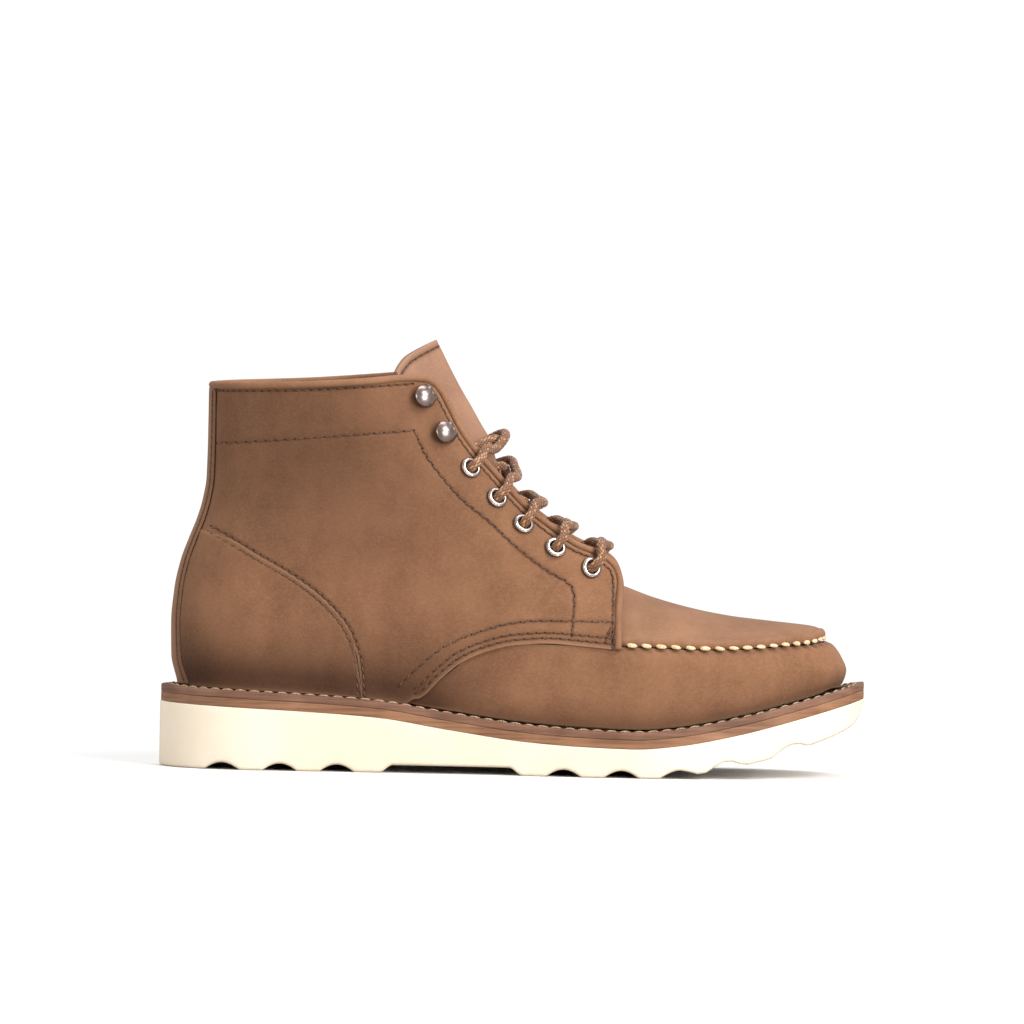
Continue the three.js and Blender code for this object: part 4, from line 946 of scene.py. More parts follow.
UPPER = nubuck("oiled_nubuck", (0.165, 0.074, 0.036, 1), (0.255, 0.122, 0.063, 1),
               (0.36, 0.195, 0.112, 1), (0.40, 0.225, 0.132, 1))
ROLLED = nubuck("rolled_nubuck", (0.18, 0.083, 0.041, 1), (0.265, 0.13, 0.068, 1),
                (0.35, 0.19, 0.108, 1), (0.36, 0.2, 0.115, 1), rough=0.6, sheen=0.04, grain=0.0001)
TONGUE_LEATHER = nubuck("tongue_nubuck", (0.225, 0.116, 0.07, 1), (0.3, 0.165, 0.105, 1),
                        (0.37, 0.225, 0.155, 1), (0.4, 0.25, 0.17, 1))
LINING = plain("glove_lining", (0.33, 0.2, 0.115, 1), (0.42, 0.27, 0.165, 1), 800.0, 0.62, 0.00006)
WELT_EDGE = cut_edge("welt_leather", (0.115, 0.052, 0.029, 1), (0.205, 0.098, 0.058, 1),
                     (0.28, 0.152, 0.098, 1), 0.55)
MIDSOLE_EDGE = cut_edge("midsole_leather", (0.15, 0.066, 0.032, 1), (0.285, 0.134, 0.068, 1),
                        (0.37, 0.19, 0.1, 1), 0.45)
RUBBER = wedge_rubber("wedge_rubber")
DARK_THREAD = thread("dark_thread", (0.15, 0.064, 0.028, 1), (0.06, 0.025, 0.012, 1))
PALE_THREAD = thread("moc_thread", (0.86, 0.66, 0.42, 1), (0.6, 0.4, 0.22, 1), 1800.0)
WELT_THREAD = thread("welt_thread", (0.5, 0.34, 0.23, 1), (0.26, 0.155, 0.1, 1), 1800.0)
# Painted shade for the needle holes.
HOLE_SHADE = plain("needle_hole_shade", (0.03, 0.014, 0.008, 1), (0.055, 0.026, 0.014, 1), 500.0, 0.9, 0.0001)
NICKEL = plated("bright_nickel", (0.80, 0.74, 0.71, 1), 0.16)
# Darker nickel for the eyelet flanges, hook bases and hook washers.
DARK_NICKEL = plated("dark_nickel", (0.17, 0.13, 0.115, 1), 0.34)
CAP_NICKEL = plated("hook_nickel", (0.33, 0.255, 0.235, 1), 0.24)
STEEL = plated("pressed_steel", (0.55, 0.55, 0.56, 1), 0.3)
LACE_CORD = braid("braided_lace", (0.225, 0.09, 0.032, 1), (0.47, 0.245, 0.11, 1),
                  (0.10, 0.038, 0.015, 1))
AGLET_PLASTIC = plain("aglet_plastic", (0.03, 0.014, 0.008, 1), (0.05, 0.026, 0.015, 1), 400.0, 0.22,
                      0.00002)
CORK = plain("pressed_cork", (0.2, 0.11, 0.05, 1), (0.48, 0.31, 0.16, 1), 520.0, 0.9, 0.0005)
FIBRE = plain("fibre_board", (0.38, 0.28, 0.16, 1), (0.5, 0.39, 0.25, 1), 700.0, 0.85, 0.0001)
SOCK = plain("sock_leather", (0.36, 0.23, 0.135, 1), (0.45, 0.3, 0.19, 1), 900.0, 0.6, 0.00008)


# ---------------------------------------------------------------- the lace's free ends
LACE_ENDS = {
    "lateral": [
        [-26.7, -21.9, 139.9], [-31.5, -26, 137], [-36, -29.5, 130], [-39.5, -30.5, 118],
        [-44, -29.5, 104], [-48, -29, 90], [-52, -28.5, 76], [-57, -27.5, 62], [-64, -25, 50.5],
        [-74, -21.5, 44.5], [-86, -19, 43.3], [-97, -15, 43.6], [-102.5, -8.5, 43.8],
        [-100, -1.5, 43.7], [-91, 2, 43.5], [-80, 2, 43], [-68, -1, 42.3], [-55, -5, 41],
        [-41, -8.5, 39], [-27, -10, 36.7], [-12, -10, 34.6], [4, -11, 32.7], [20, -14.5, 31.3],
        [35, -18, 30.9], [50, -18.5, 31], [63, -16.5, 32.2]],
    "medial": [
        [-26.6, 18.7, 139.9], [-30.5, 24.2, 137], [-36, 27.5, 130], [-39.5, 30, 118], [-44, 30, 104],
        [-48, 30, 90], [-50.5, 29.5, 76], [-51, 29, 62], [-48, 27, 50], [-41, 23, 41.5],
        [-31, 18.5, 37.5], [-19, 14.5, 35.5], [-6, 13, 33.7], [8, 15.5, 32.2], [21, 20, 31.2],
        [35, 22.5, 30.6], [49, 21, 30.2], [62, 16, 30.7], [74, 11, 32.2], [86, 9, 34.3],
        [97, 12, 36.9], [103, 19, 38.7], [100, 26.5, 38.2], [89, 30.5, 35.5], [77, 31.5, 33.4],
        [64, 31.5, 32.3]],
}
LACE_STEP = 0.55
LACE_SIDES = 20
STRANDS_ROUND = 8
STRAND_PITCH = 2.3
STRAND_STANDS = 0.05
LACE_CORE = LACE_RADIUS - 0.2
AGLET_RADIUS = 1.7
AGLET_LENGTH = 21
AGLET_PROFILE = rounded([[0, -0.3], [AGLET_RADIUS - 0.25, -0.3], [AGLET_RADIUS, 0.6],
                         [AGLET_RADIUS, AGLET_LENGTH], [AGLET_RADIUS - 0.5, AGLET_LENGTH + 0.9],
                         [0.01, AGLET_LENGTH + 1.1]], 0.4)


def laid_lace(name, path):
    """A braided round lace: strands stand proud along both diagonals."""
    path = even(path, LACE_STEP)
    run = np.arange(len(path))[:, None] * LACE_STEP * np.pi / STRAND_PITCH
    turn = around(LACE_SIDES)[None] * STRANDS_ROUND / 2
    plait = np.abs(np.sin(run + turn) * np.sin(run - turn))
    radius = LACE_CORE * (1 + STRAND_STANDS * (plait - 0.3))
    piece = skin(name, tube_rings(path, radius, LACE_SIDES), LACE_CORD)
    mark(piece, "run", np.broadcast_to(run, plait.shape))
    mark(piece, "turn", np.broadcast_to(turn, plait.shape))
    return piece, path


for side_name in SIDES:
    points = flowing(LACE_ENDS[side_name], 24)
    free_end, route = laid_lace("free_lace_" + side_name, points)
    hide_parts("lace_end_" + side_name)
    way = unit(route[-1] - route[-2])
    rings = lathe(AGLET_PROFILE, route[-1] + way * SEAM_GAP, way, UP, 24).transpose(1, 0, 2)
    sleeve = skin("lace_tip_" + side_name, rings, AGLET_PLASTIC)
    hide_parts("aglet_" + side_name)
    centre = to_frame(route)
    tuple(centre[0])
    float(length_of(centre))


# ---------------------------------------------------------------- sole
SOLE_FLAT = curve([[-110, 40], [-60, 41], [-10, 43], [35, 51.5], [68, 53.6], [120, 53.2]])
SOLE_END = 152.5
SOLE_BACK_ROUND = 44
SOLE_FRONT_ROUND = 80
END_STATIONS = 34
FLAT_STATIONS = 190
GROOVES = (-124.6, -99.7, -75.1, 22.5, 47.3, 71.2, 92, 120)
GROOVE_WIDTH = 15
GROOVE_DEPTH = 3.2
ARCH = (-57, 5)
ARCH_RAMP = 6
ARCH_LIFT = 3.4
ground_line = curve([[-152.5, 0], [66, 0], [80, 2.3], [107, 7.7], [126, 13.8], [144, 20.8],
                     [149, 24.5], [152.5, 33.5]])
WELT_THICKNESS = 3.2
MIDSOLE_THICKNESS = 3.6
GLUE_LINES = 0.4
SOLE_INSET = 0.4
ROUND_SHARE = 0.4
WALL_SHARES = np.linspace(0.12, 0.88, 7)
ACROSS = 9


def top_of_midsole(x):
    return welt_top(x) - WELT_THICKNESS


def top_of_outsole(x):
    return top_of_midsole(x) - MIDSOLE_THICKNESS - GLUE_LINES


def tread(x):
    """The underside: rounded lobes between grooves, and the lifted arch."""
    reach = np.min([np.abs(x - at) for at in GROOVES], axis=0) / (GROOVE_WIDTH / 2)
    groove = np.cos(np.minimum(reach, 1) * np.pi / 2) ** 0.9 * GROOVE_DEPTH
    arch = smooth((x - ARCH[0]) / ARCH_RAMP) * smooth((ARCH[1] - x) / ARCH_RAMP) * ARCH_LIFT
    return ground_line(x) + np.maximum(groove, arch)


def plan_side(inset):
    """The inner side of the plan outline, from heel to toe, moved in by an inset."""
    end = SOLE_END - inset
    back, front = SOLE_BACK_ROUND - inset, SOLE_FRONT_ROUND - inset
    turn = 1 - np.cos(np.linspace(0, np.pi / 2, END_STATIONS))
    x = np.concatenate([-end + back * turn, np.linspace(-end + back, end - front, FLAT_STATIONS)[1:-1],
                        (end - front * turn)[::-1]])
    near_back, near_front = np.minimum((x + end) / back, 1), np.minimum((end - x) / front, 1)
    ends = (1 - (1 - near_back) ** 2) * (1 - (1 - near_front) ** 2)
    return x, (SOLE_FLAT(x) - inset) * np.sqrt(np.maximum(ends, 0))


def plan_ring(inset, height):
    """A closed ring of points round the sole; height is a function of x."""
    x, y = plan_side(inset)
    loop_x = np.concatenate([x, x[-2:0:-1]])
    loop_y = np.concatenate([-y, y[-2:0:-1]])
    return swung(np.stack([loop_x, loop_y, height(loop_x)], -1))


def sole_layer(name, low, high, inset, low_round, high_round, finish, node, hollow=0.0):
    """A layer of the sole: a rounded wall round the plan outline, filled or open in the middle."""
    def top_round(x):
        return np.minimum(high_round, ROUND_SHARE * (high(x) - low(x)))

    def foot_round(x):
        return np.minimum(low_round, ROUND_SHARE * (high(x) - low(x)))

    def turned_in(radius, angle, height):
        cut = 1 - math.sin(angle)
        return plan_ring(inset + radius * (1 - math.cos(angle)), lambda x: height(x, cut))

    rings = [turned_in(high_round, angle, lambda x, cut: high(x) - top_round(x) * cut)
             for angle in np.linspace(np.pi / 2, 0, 5)]
    rings += [plan_ring(inset, lambda x: mix(high(x) - top_round(x), low(x) + foot_round(x), share))
              for share in WALL_SHARES]
    rings += [turned_in(low_round, angle, lambda x, cut: low(x) + foot_round(x) * cut)
              for angle in np.linspace(0, np.pi / 2, 7)]
    if hollow:
        rings += [plan_ring(hollow, low), plan_ring(hollow, high)]
    rings = np.array(rings)
    count = rings.shape[1]
    last = (len(rings) - 1) * count
    points = rings.reshape(-1, 3)
    faces = grid_faces(len(rings), count)
    faces += [(i + count - 1, i + 2 * count - 1, i + count, i) for i in range(0, last, count)]
    if hollow:
        faces += [(last + j, j, (j + 1) % count, last + (j + 1) % count) for j in range(count)]
    else:
        half = count // 2
        for ring, first in ((rings[0], 0), (rings[-1], last)):
            left, right = ring[1:half], ring[:half:-1]
            across = mix(left[:, None], right[:, None], np.linspace(0, 1, ACROSS)[None, :, None])
            start = len(points)
            points = np.vstack([points, across.reshape(-1, 3)])
            faces += grid_faces(across.shape[0], ACROSS, start)
            for row, end in ((0, first), (across.shape[0] - 1, first + half)):
                at = start + row * ACROSS
                faces += [(at + j, at + j + 1, end) for j in range(ACROSS - 1)]
    piece = make(name, points, faces, finish)
    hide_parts(node)
    tidied(piece, WELD)


sole_layer("wedge_sole", tread, top_of_outsole, 0.0, 1.5, 0.5, RUBBER, "outsole")
sole_layer("leather_midsole", lambda x: top_of_midsole(x) - MIDSOLE_THICKNESS - 0.35,
           lambda x: top_of_midsole(x) - 0.05, SOLE_INSET, 0.35, 0.45, MIDSOLE_EDGE,
           "midsole")
sole_layer("stitched_welt", top_of_midsole, welt_top, SOLE_INSET, 0.35, 0.7, WELT_EDGE,
           "welt", hollow=13.4)

WELT_STITCH_INSET = 3.6
WELT_PITCH = 6.0
ring = plan_ring(SOLE_INSET + WELT_STITCH_INSET, welt_top)
places = even(np.vstack([ring, ring[:1]]), WELT_PITCH)
slope = (welt_top(places[:, 0] + 0.5) - welt_top(places[:, 0] - 0.5))
normals = unit(np.stack([-slope, np.zeros(len(places)), np.ones(len(places))], -1))
stitches("welt_stitches", [(places, normals)], WELT_THREAD, 0.84, 1.1, 0.8, seed=5,
         lean=0.12, sink=0.1)


# ---------------------------------------------------------------- quarters, counter, backstay
def rows_on(side, names):
    """The named thread rows laid on one side: points and normals."""
    spots = [even(*ROWS[name]) for name in names]
    return [on_side(at[:, 0], at[:, 1], side, np.zeros(len(at))) for at in spots]


def collar_row(side):
    """The row under the collar's rolled edge: points and normals."""
    walk = np.linspace(7.5, float(walk_to(*QUARTER_EDGE[-1])) - 1.5, 300)
    z = collar_line(EDGE_ROOM + 0.55)(walk)
    patch = side_walk(side)
    p, n = lifted(patch, walk, z, np.zeros(len(walk)))
    keep = even(np.hstack([swung(p), n]), 3.7)
    return keep[:, :3], unit(keep[:, 3:])


def dents(p, seed):
    """Soft unevenness of lasted leather, with finer creases where the ankle bends."""
    crease = np.exp(-(((p[..., 0] + 36) / 24) ** 2 + ((p[..., 2] - 140) / 20) ** 2))
    fold = np.sin((p[..., 2] * 0.86 + p[..., 0] * 0.5) * 0.62 + 2 * wander(p, 70, seed + 9, 1))
    soft = np.exp(-(((p[..., 0] + 22) / 34) ** 2 + ((p[..., 2] - 88) / 26) ** 2))
    return 0.42 * wander(p, 95, seed) + 0.22 * crease * fold - 0.5 * soft


def painted_shade(flat):
    """Painted shade: darker leather where it turns in above the welt, round the heel, at the ankle and
    towards the back.
    """
    x, z = flat[..., 0], flat[..., 2]
    above = np.maximum(z - feather(x), 0)
    heel = 0.95 * np.exp(-(above / 19) ** 2) * smooth((5 - x) / 50)
    shaft = 0.5 * np.exp(-((x + 86) / 40) ** 2 - ((z - 136) / 40) ** 2)
    rear = 0.17 * smooth((25 - x) / 60)
    return np.clip(np.maximum(np.exp(-above / 3.6), heel + shaft + rear), 0, 1)


GROOVE = 0.3
GROOVE_REACH = 0.8


def upper_piece(name, area, columns, rows, top, thickness, finish, node, lines, seed, side,
                dented=True):
    """A side piece of the upper, in (walk, z), with its seams pressed in."""
    u, v = grid(columns, rows)

    def patch(a, b):
        spot = area(a, b)
        return from_back(side * spot[..., 0], spot[..., 1])

    flat, _ = lifted(patch, u, v, np.zeros(u.shape))
    pressed = near(swung(flat), lines, GROOVE_REACH) if len(lines) else np.zeros(u.shape)
    # The seam mark: darker along pressed seams, and painted shade above the welt, round the heel and at
    # the ankle.
    seam = np.maximum(0.5 * pressed, painted_shade(flat))
    rim = np.minimum(np.minimum(u, 1 - u), np.minimum(v, 1 - v))
    ease = smooth(rim / 0.06)
    move = (dents(flat, seed) * ease if dented else 0) - GROOVE * pressed
    outer, _ = lifted(patch, u, v, top + move)
    inner, _ = lifted(patch, u, v, top - thickness + move)
    piece = sheet(name, swung(outer), swung(inner), finish, seam=seam)
    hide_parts(node)
    return piece


PUNCH_RADIUS = 3.3
PUNCH_PROFILE = [[0.001, -6], [PUNCH_RADIUS, -6], [PUNCH_RADIUS, 5], [0.001, 5]]


def cut_round_holes(piece, seats):
    """Punches the eyelet holes."""
    points, faces = [], []
    for p, n in seats:
        rings = lathe(PUNCH_PROFILE, p, n, UP, 28)
        start = len(points) * rings.shape[0] * rings.shape[1]
        count = rings.shape[1]
        for i in range(rings.shape[0]):
            after = (i + 1) % rings.shape[0]
            for j in range(count - 1):
                faces.append((start + i * count + j, start + i * count + j + 1,
                              start + after * count + j + 1, start + after * count + j))
        points.append(rings.reshape(-1, 3))
    mesh = bpy.data.meshes.new("punch")
    mesh.from_pydata(to_frame(np.concatenate(points)).tolist(), [], faces)
    punch = bpy.data.objects.new("punch", mesh)
    bpy.context.scene.collection.objects.link(punch)
    tidied(punch, WELD)
    hole = piece.modifiers.new("eyelet_holes", "BOOLEAN")
    hole.operation = "DIFFERENCE"
    hole.object = punch
    hole.solver = "EXACT"
    bake(piece)
    bpy.data.objects.remove(punch)


def bake(piece):
    """Applies the piece's modifiers to its mesh."""
    graph = bpy.context.evaluated_depsgraph_get()
    done = bpy.data.meshes.new_from_object(piece.evaluated_get(graph))
    piece.modifiers.clear()
    piece.data = done


COUNTER_LAP = 0.7
COUNTER_LIFT = 0.35
COUNTER_FRONT = -64.9


def counter_area(u, v):
    """The heel's counter cover, in (walk, z)."""
    walk = mix(CENTRE_BACK, walk_to(COUNTER_FRONT, 34), 1 - np.maximum(1 - u, 0) ** 1.25)
    low = feather(from_back(walk, 34)[..., 0])
    return pairs(walk, mix(low, seam_height(walk - COUNTER_LAP) + 0.35, v))


def acrossed(start, end):
    """A straight edge on the side of the boot, from one point to another."""
    return lambda t: walked(mix(np.asarray(start), np.asarray(end), np.asarray(t)[..., None]))


STAY_FRONT = inset(FACING_EDGE, EDGE_ROOM + 0.1)
STAY_FRONT[:, 1] = np.maximum(STAY_FRONT[:, 1], 60)
stay_back, stay_front = line(STAY_BACK), line(STAY_FRONT[1:])
stay_area = between(acrossed(STAY_BACK[0], STAY_FRONT[1]), acrossed(STAY_BACK[-1], STAY_FRONT[-1]),
                    lambda t: walked(stay_back(t)), lambda t: walked(stay_front(t)))

LINING_FRONT = 23
lining_front = line(np.vstack([[[LINING_FRONT, welt_top(LINING_FRONT) + 0.7], [LINING_FRONT, 45]],
                               STAY_BACK - [0.7 + SEAM_GAP, 0.3]]))


def lining_bottom(t):
    walk = mix(CENTRE_BACK, walk_to(LINING_FRONT, 40), t)
    return pairs(walk, feather(from_back(walk, 34)[..., 0]) + 0.3)


def lining_top(t):
    walk = mix(CENTRE_BACK, walk_to(-54, 167.1), t)
    return pairs(walk, collar_line(EDGE_ROOM - 0.9)(walk))


lining_back = line([[CENTRE_BACK, float(lining_bottom(np.array(0.0))[1])], [CENTRE_BACK, 100],
                    [CENTRE_BACK, float(lining_top(np.array(0.0))[1])]])
lining_area = between(lining_bottom, lining_top, lining_back, lambda t: walked(lining_front(t)))


def lining_depth(flat):
    """How far the lining steps in behind the heel counter and the vamp."""
    x, z = flat[..., 0], flat[..., 2]
    heel = smooth((97 - z) / 9) * smooth((-40 - x) / 12) * (1.8 + LAYER_GAP)
    vamp = smooth((vamp_seam(x) + 16 - z) / 9) * smooth((x + 52) / 10) * (VAMP_LEATHER + 2 * LAYER_GAP)
    return LINING_DEPTH + np.maximum(heel, vamp)


BACKSTAY_HALF_WIDTH = 13.5
BACKSTAY_FLARE = 4.5
BACKSTAY_ROW = 0.085
BACKSTAY_PRESS = 0.3


def backstay_patch(u, v):
    z = mix(feather(-146) + 0.3, BACK_TOP, v)
    return from_back(mix(-1, 1, u) * (BACKSTAY_HALF_WIDTH + BACKSTAY_FLARE * (1 - v) ** 4), z)


def backstay_edge(side):
    """The line on the quarter that the strip's edge lies along, pressed in and painted with shade."""
    v = np.linspace(0, 1, 60)
    return swung(backstay_patch(np.full(60, (1 + side) / 2), v))


QUARTER_ROWS = ["counter_upper", "vamp_lower", "vamp_upper", "stay_lower", "stay_back", "shaft_band",
                "facing"]
thread_rows, hole_rows = [], []
for name, side in SIDES.items():
    rows = rows_on(side, QUARTER_ROWS) + [collar_row(side)]
    below = rows_on(side, ["counter_lower"])
    # The strip's edge line presses a groove into the quarter and lays painted shade along it.
    lines = [p for p, _ in rows] + [backstay_edge(side)]
    quarter = upper_piece("quarter_leather_" + name, quarter_area, 190, 150, 0.0, QUARTER_LEATHER, UPPER,
                          "quarter_" + name, lines, 11 + side, side)
    seats = [on_side(x, z, side) for x, z in EYELETS]
    cut_round_holes(quarter, seats)
    stay = upper_piece("eyelet_stay_" + name, stay_area, 24, 90, -STAY_DEPTH, STAY_LEATHER, LINING,
                       "facing_stay_" + name, (), 2, side, dented=False)
    cut_round_holes(stay, seats)
    upper_piece("heel_leather_" + name, counter_area, 110, 80, COUNTER_LIFT, QUARTER_LEATHER, UPPER,
                "counter_cover_" + name, [p for p, _ in below] + [backstay_edge(side)],
                21 + side, side)
    u, v = grid(90, 80)
    patch = lambda a, b: from_back(side * lining_area(a, b)[..., 0], lining_area(a, b)[..., 1])
    flat, _ = lifted(patch, u, v, np.zeros(u.shape))
    depth = lining_depth(flat)
    outer, inner = (swung(lifted(patch, u, v, -depth - extra)[0]) for extra in (0, LINING_LEATHER))
    lining = sheet("shaft_lining_" + name, inner, outer, LINING)
    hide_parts("lining_" + name)
    thread_rows += rows + below
    hole_rows += rows + below

u, v = grid(40, 150)
edge = np.minimum(u, 1 - u)
pressed = BACKSTAY_PRESS * np.exp(-((edge - BACKSTAY_ROW) / 0.03) ** 2)
# Painted shade along the strip's edges.
painted_edge_shade = np.exp(-(edge / 0.05) ** 2)
crown = 0.35 * smooth(edge / 0.12) - pressed + 0.12 * wander(backstay_patch(u, v), 40, 4)
outer, inner = (swung(lifted(backstay_patch, u, v, level)[0]) for level in (1.2 + crown, 0.15 + crown * 0))
backstay = sheet("backstay_strip", outer, inner, ROLLED,
                 seam=np.maximum(0.6 * pressed / BACKSTAY_PRESS, painted_edge_shade))
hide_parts("backstay")
for share in (BACKSTAY_ROW, 1 - BACKSTAY_ROW):
    spot = np.linspace(0.015, 0.985, 300)
    p, n = lifted(backstay_patch, np.full(300, share), spot, np.full(300, 1.3))
    row = even(np.hstack([swung(p), n]), 3.6)
    thread_rows.append((row[:, :3], unit(row[:, 3:])))
    hole_rows.append(thread_rows[-1])


# ---------------------------------------------------------------- vamp wall and moc seam
PLUG_REAR = 44
WALL_REAR = -47
WALL_UNDERLAP = 4
MOC_PITCH = 6.3
wall_half = float(walk_from_front(WALL_REAR, 35))


def wall_top(x):
    seamed = moc_seam(x) - 0.1
    return np.where(x > PLUG_REAR, seamed, np.minimum(seamed, vamp_seam(x) + WALL_UNDERLAP))


def wall_patch(u, v):
    """The wall round the toe, from the welt up to the moc seam."""
    walk = mix(-wall_half, wall_half, u)
    rough_x = from_front(walk, 45)[..., 0]
    low = feather(from_front(walk, welt_top(rough_x))[..., 0])
    high = wall_top(from_front(walk, moc_seam(rough_x))[..., 0])
    return from_front(walk, mix(low, high, v))


u, v = grid(420, 56)
flat, _ = lifted(wall_patch, u, v, np.zeros(u.shape))
top_run = np.concatenate([[0], np.cumsum(np.linalg.norm(np.diff(flat[:, -1], axis=0), axis=1))])
middle = np.interp(0.5, u[:, 0], top_run)
beat = (top_run - middle) / MOC_PITCH
seamed = smooth((flat[:, -1, 0] - PLUG_REAR + 2) / 4)
below_seam = flat[:, -1:, 2] - flat[..., 2]
pucker = seamed[:, None] * np.cos(2 * np.pi * beat)[:, None] * np.exp(-below_seam / 2.6)
roll_in = seamed[:, None] * np.exp(-(below_seam / 1.6) ** 2)
move = 0.32 * pucker - 0.75 * roll_in + 0.3 * wander(flat, 80, 31) * smooth(np.minimum(v, 1 - v) / 0.15)
outer, inner = (swung(lifted(wall_patch, u, v, level + move)[0])
                for level in (-WALL_DEPTH, -WALL_DEPTH - VAMP_LEATHER))
# Painted shade in the pinched recess below the moc seam, darkest between the stitches, and painted shade
# above the welt.
painted_pinch_shade = np.clip(roll_in * (0.75 - 0.45 * np.cos(2 * np.pi * beat)[:, None]), 0, 1)
wall = sheet("vamp_wall_leather", outer, inner, UPPER,
             seam=np.maximum(painted_pinch_shade, painted_shade(flat)))
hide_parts("vamp_wall")

MOC_STITCH_HEIGHT = 0.55
plug_half = float(walk_from_front(PLUG_REAR, 57))


def seam_frame(walk):
    """The top edge of the wall: its points, and the level direction in towards the plug."""
    z = moc_seam(from_front(walk, 60)[..., 0])
    rim, _ = lifted(from_front, walk, z, np.full(np.shape(walk), -WALL_DEPTH))
    centre = np.stack([np.minimum(rim[..., 0], 92), np.zeros_like(walk), rim[..., 2]], -1)
    inward = unit(centre - rim)
    return rim, inward


walk = np.linspace(-plug_half, plug_half, 421)
rim, inward = seam_frame(walk)
run = np.concatenate([[0], np.cumsum(np.linalg.norm(np.diff(rim, axis=0), axis=1))])
run -= run[len(run) // 2]
beat = run / MOC_PITCH
RIDGE_WELD = 1e-4
ROLL = 2.15
ROLL_TURN = np.radians(np.linspace(-112, 80, 18))
ROLL_IN = 1.35
ROLL_UP = 2.25
TUCK = ((2.3, -2.2), (2.2, -0.6), (2.1, 0.1))

calm = ROLL * (1 + 0.04 * wander(rim * [1, 0, 1], 30, 8))
lip = calm * (1 - 0.06 * np.cos(2 * np.pi * beat))
rolls = [rim + inward * depth + UP * rise for depth, rise in TUCK]
for turn in ROLL_TURN:
    rolls.append(rim + inward * (ROLL_IN - lip * math.cos(turn))[:, None]
                 + UP * (ROLL_UP + lip * math.sin(turn))[:, None])
top_edge = rolls[-1]
last_turn = ROLL_TURN[-1]
calm_edge = (rim + inward * (ROLL_IN - calm * math.cos(last_turn))[:, None]
             + UP * (ROLL_UP + calm * math.sin(last_turn))[:, None])
along = (rim[:, 0] - PLUG_REAR) / (front_x(60) - PLUG_REAR)
ridge_x = mix(PLUG_REAR, 124, along)
ridge = np.stack([ridge_x, np.zeros(len(walk)), plug_ridge(ridge_x)], -1)
dome = []
for share in np.linspace(0, 1, 44)[1:] ** 1.25:
    edge = mix(top_edge, calm_edge, smooth(share / 0.1))
    level = mix(edge, ridge, share)
    rise = ridge[:, 2] - edge[:, 2]
    crown = 1 - (1 - share) ** 2.2
    valley = 0.75 * np.exp(-((share - 0.085) / 0.055) ** 2)
    level[:, 2] = edge[:, 2] + rise * crown - valley * smooth(rise / 3)
    dome.append(level)
outer = np.stack(rolls + dome, 1)
shape = np.gradient(outer, axis=0), np.gradient(outer, axis=1)
normal = unit(np.cross(*shape))
normal = np.where(normal[:, -8:, 2].mean() < 0, -normal, normal)
normal[:, -1] = unit((normal[:, -1] + normal[::-1, -1] * [1, -1, 1]) * [1, 0, 1])
rise_in = smooth(np.arange(outer.shape[1]) / 30)[None]
outer = outer + normal * (0.25 * wander(outer * [1, 0, 1], 60, 17) * rise_in)[..., None]
inner = outer - normal * VAMP_LEATHER
# Painted shade on the tuck under the rolled lip.
roll_shade = np.zeros(outer.shape[:2])
roll_shade[:, :9] = np.interp(np.arange(9), [0, 4, 8], [1, 1, 0])[None]
plug = sheet("vamp_plug_leather", swung(outer), swung(inner), ROLLED, seam=roll_shade,
             edge_radius=0, open_top=True)
tidied(plug, RIDGE_WELD)
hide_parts("vamp_plug")

shown = np.arange(math.ceil(beat[0] + 0.4), math.floor(beat[-1] - 0.4) + 1)
moc_inward = np.stack([np.interp(shown * MOC_PITCH, run, inward[:, k]) for k in range(3)], -1)
half_gap = MOC_PITCH / 2
moc_rows = []
for beat_at, out in zip(shown, -unit(moc_inward)):
    ends = np.array([beat_at * MOC_PITCH - half_gap, beat_at * MOC_PITCH + half_gap])
    spots = np.stack([np.interp(ends, run, rim[:, k]) for k in range(3)], -1)
    spots = spots + out * 0.25 + UP * MOC_STITCH_HEIGHT
    moc_rows.append((swung(spots), np.array([out, out])))
stitches("moc_stitches", moc_rows, PALE_THREAD, 0.76, 1.8, 1.35, lean=-0.1, sink=0.0, seed=7,
         sides=12)


# ---------------------------------------------------------------- tongue
TONGUE_ROOT = 87
TONGUE_TIP = 186
TONGUE_LEATHER_THICKNESS = 2.4
tongue_half = curve([[85, 24], [110, 34], [140, 38], [186, 41]])


def tongue_sink(walk, z):
    crest = smooth(1 - np.abs(walk) / 25) * smooth((z - 122) / 24)
    root = 4 * (1 - smooth((z - TONGUE_ROOT) / 14))
    return TONGUE_DEPTH * (1 - crest) + root


def tongue_spot(u, v):
    across = 2 * u - 1
    z = mix(TONGUE_ROOT, TONGUE_TIP - 11 * np.abs(across) ** 2.2, v)
    return across * tongue_half(z), z


def tongue_layer(u, v, depth):
    walk, z = tongue_spot(u, v)
    return swung(lifted(from_front, walk, z, depth - tongue_sink(walk, z))[0])


u, v = grid(70, 110)
flat = from_front(*tongue_spot(u, v))
gap_top = (1 - v) * 96
row_press = np.exp(-((gap_top - 2.6) / 0.7) ** 2) * smooth(np.minimum(u, 1 - u) / 0.03)
ease = smooth(np.minimum(np.minimum(u, 1 - u), np.minimum(v, 1 - v)) / 0.08)
move = 0.3 * wander(flat, 60, 77) * ease - 0.3 * row_press
outer = tongue_layer(u, v, move)
inner = tongue_layer(u, v, move * 0.5 - TONGUE_LEATHER_THICKNESS)
tongue = sheet("tongue_leather", outer, inner, TONGUE_LEATHER, "tongue", seam=row_press,
               edge_radius=0.7)
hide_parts("tongue")
share = np.linspace(0.045, 0.955, 300)
spot_v = np.full(300, 1 - 2.6 / 96)
walk_t, z_t = tongue_spot(share, spot_v)
p, n = lifted(from_front, walk_t, z_t, -tongue_sink(walk_t, z_t) - 0.2)
row = even(np.hstack([swung(p), n]), 3.6)
tongue_row = [(row[:, :3], unit(row[:, 3:]))]
stitches("tongue_stitches", tongue_row, DARK_THREAD, 0.72, 0.75, 0.6, seed=3,
         body="tongue")
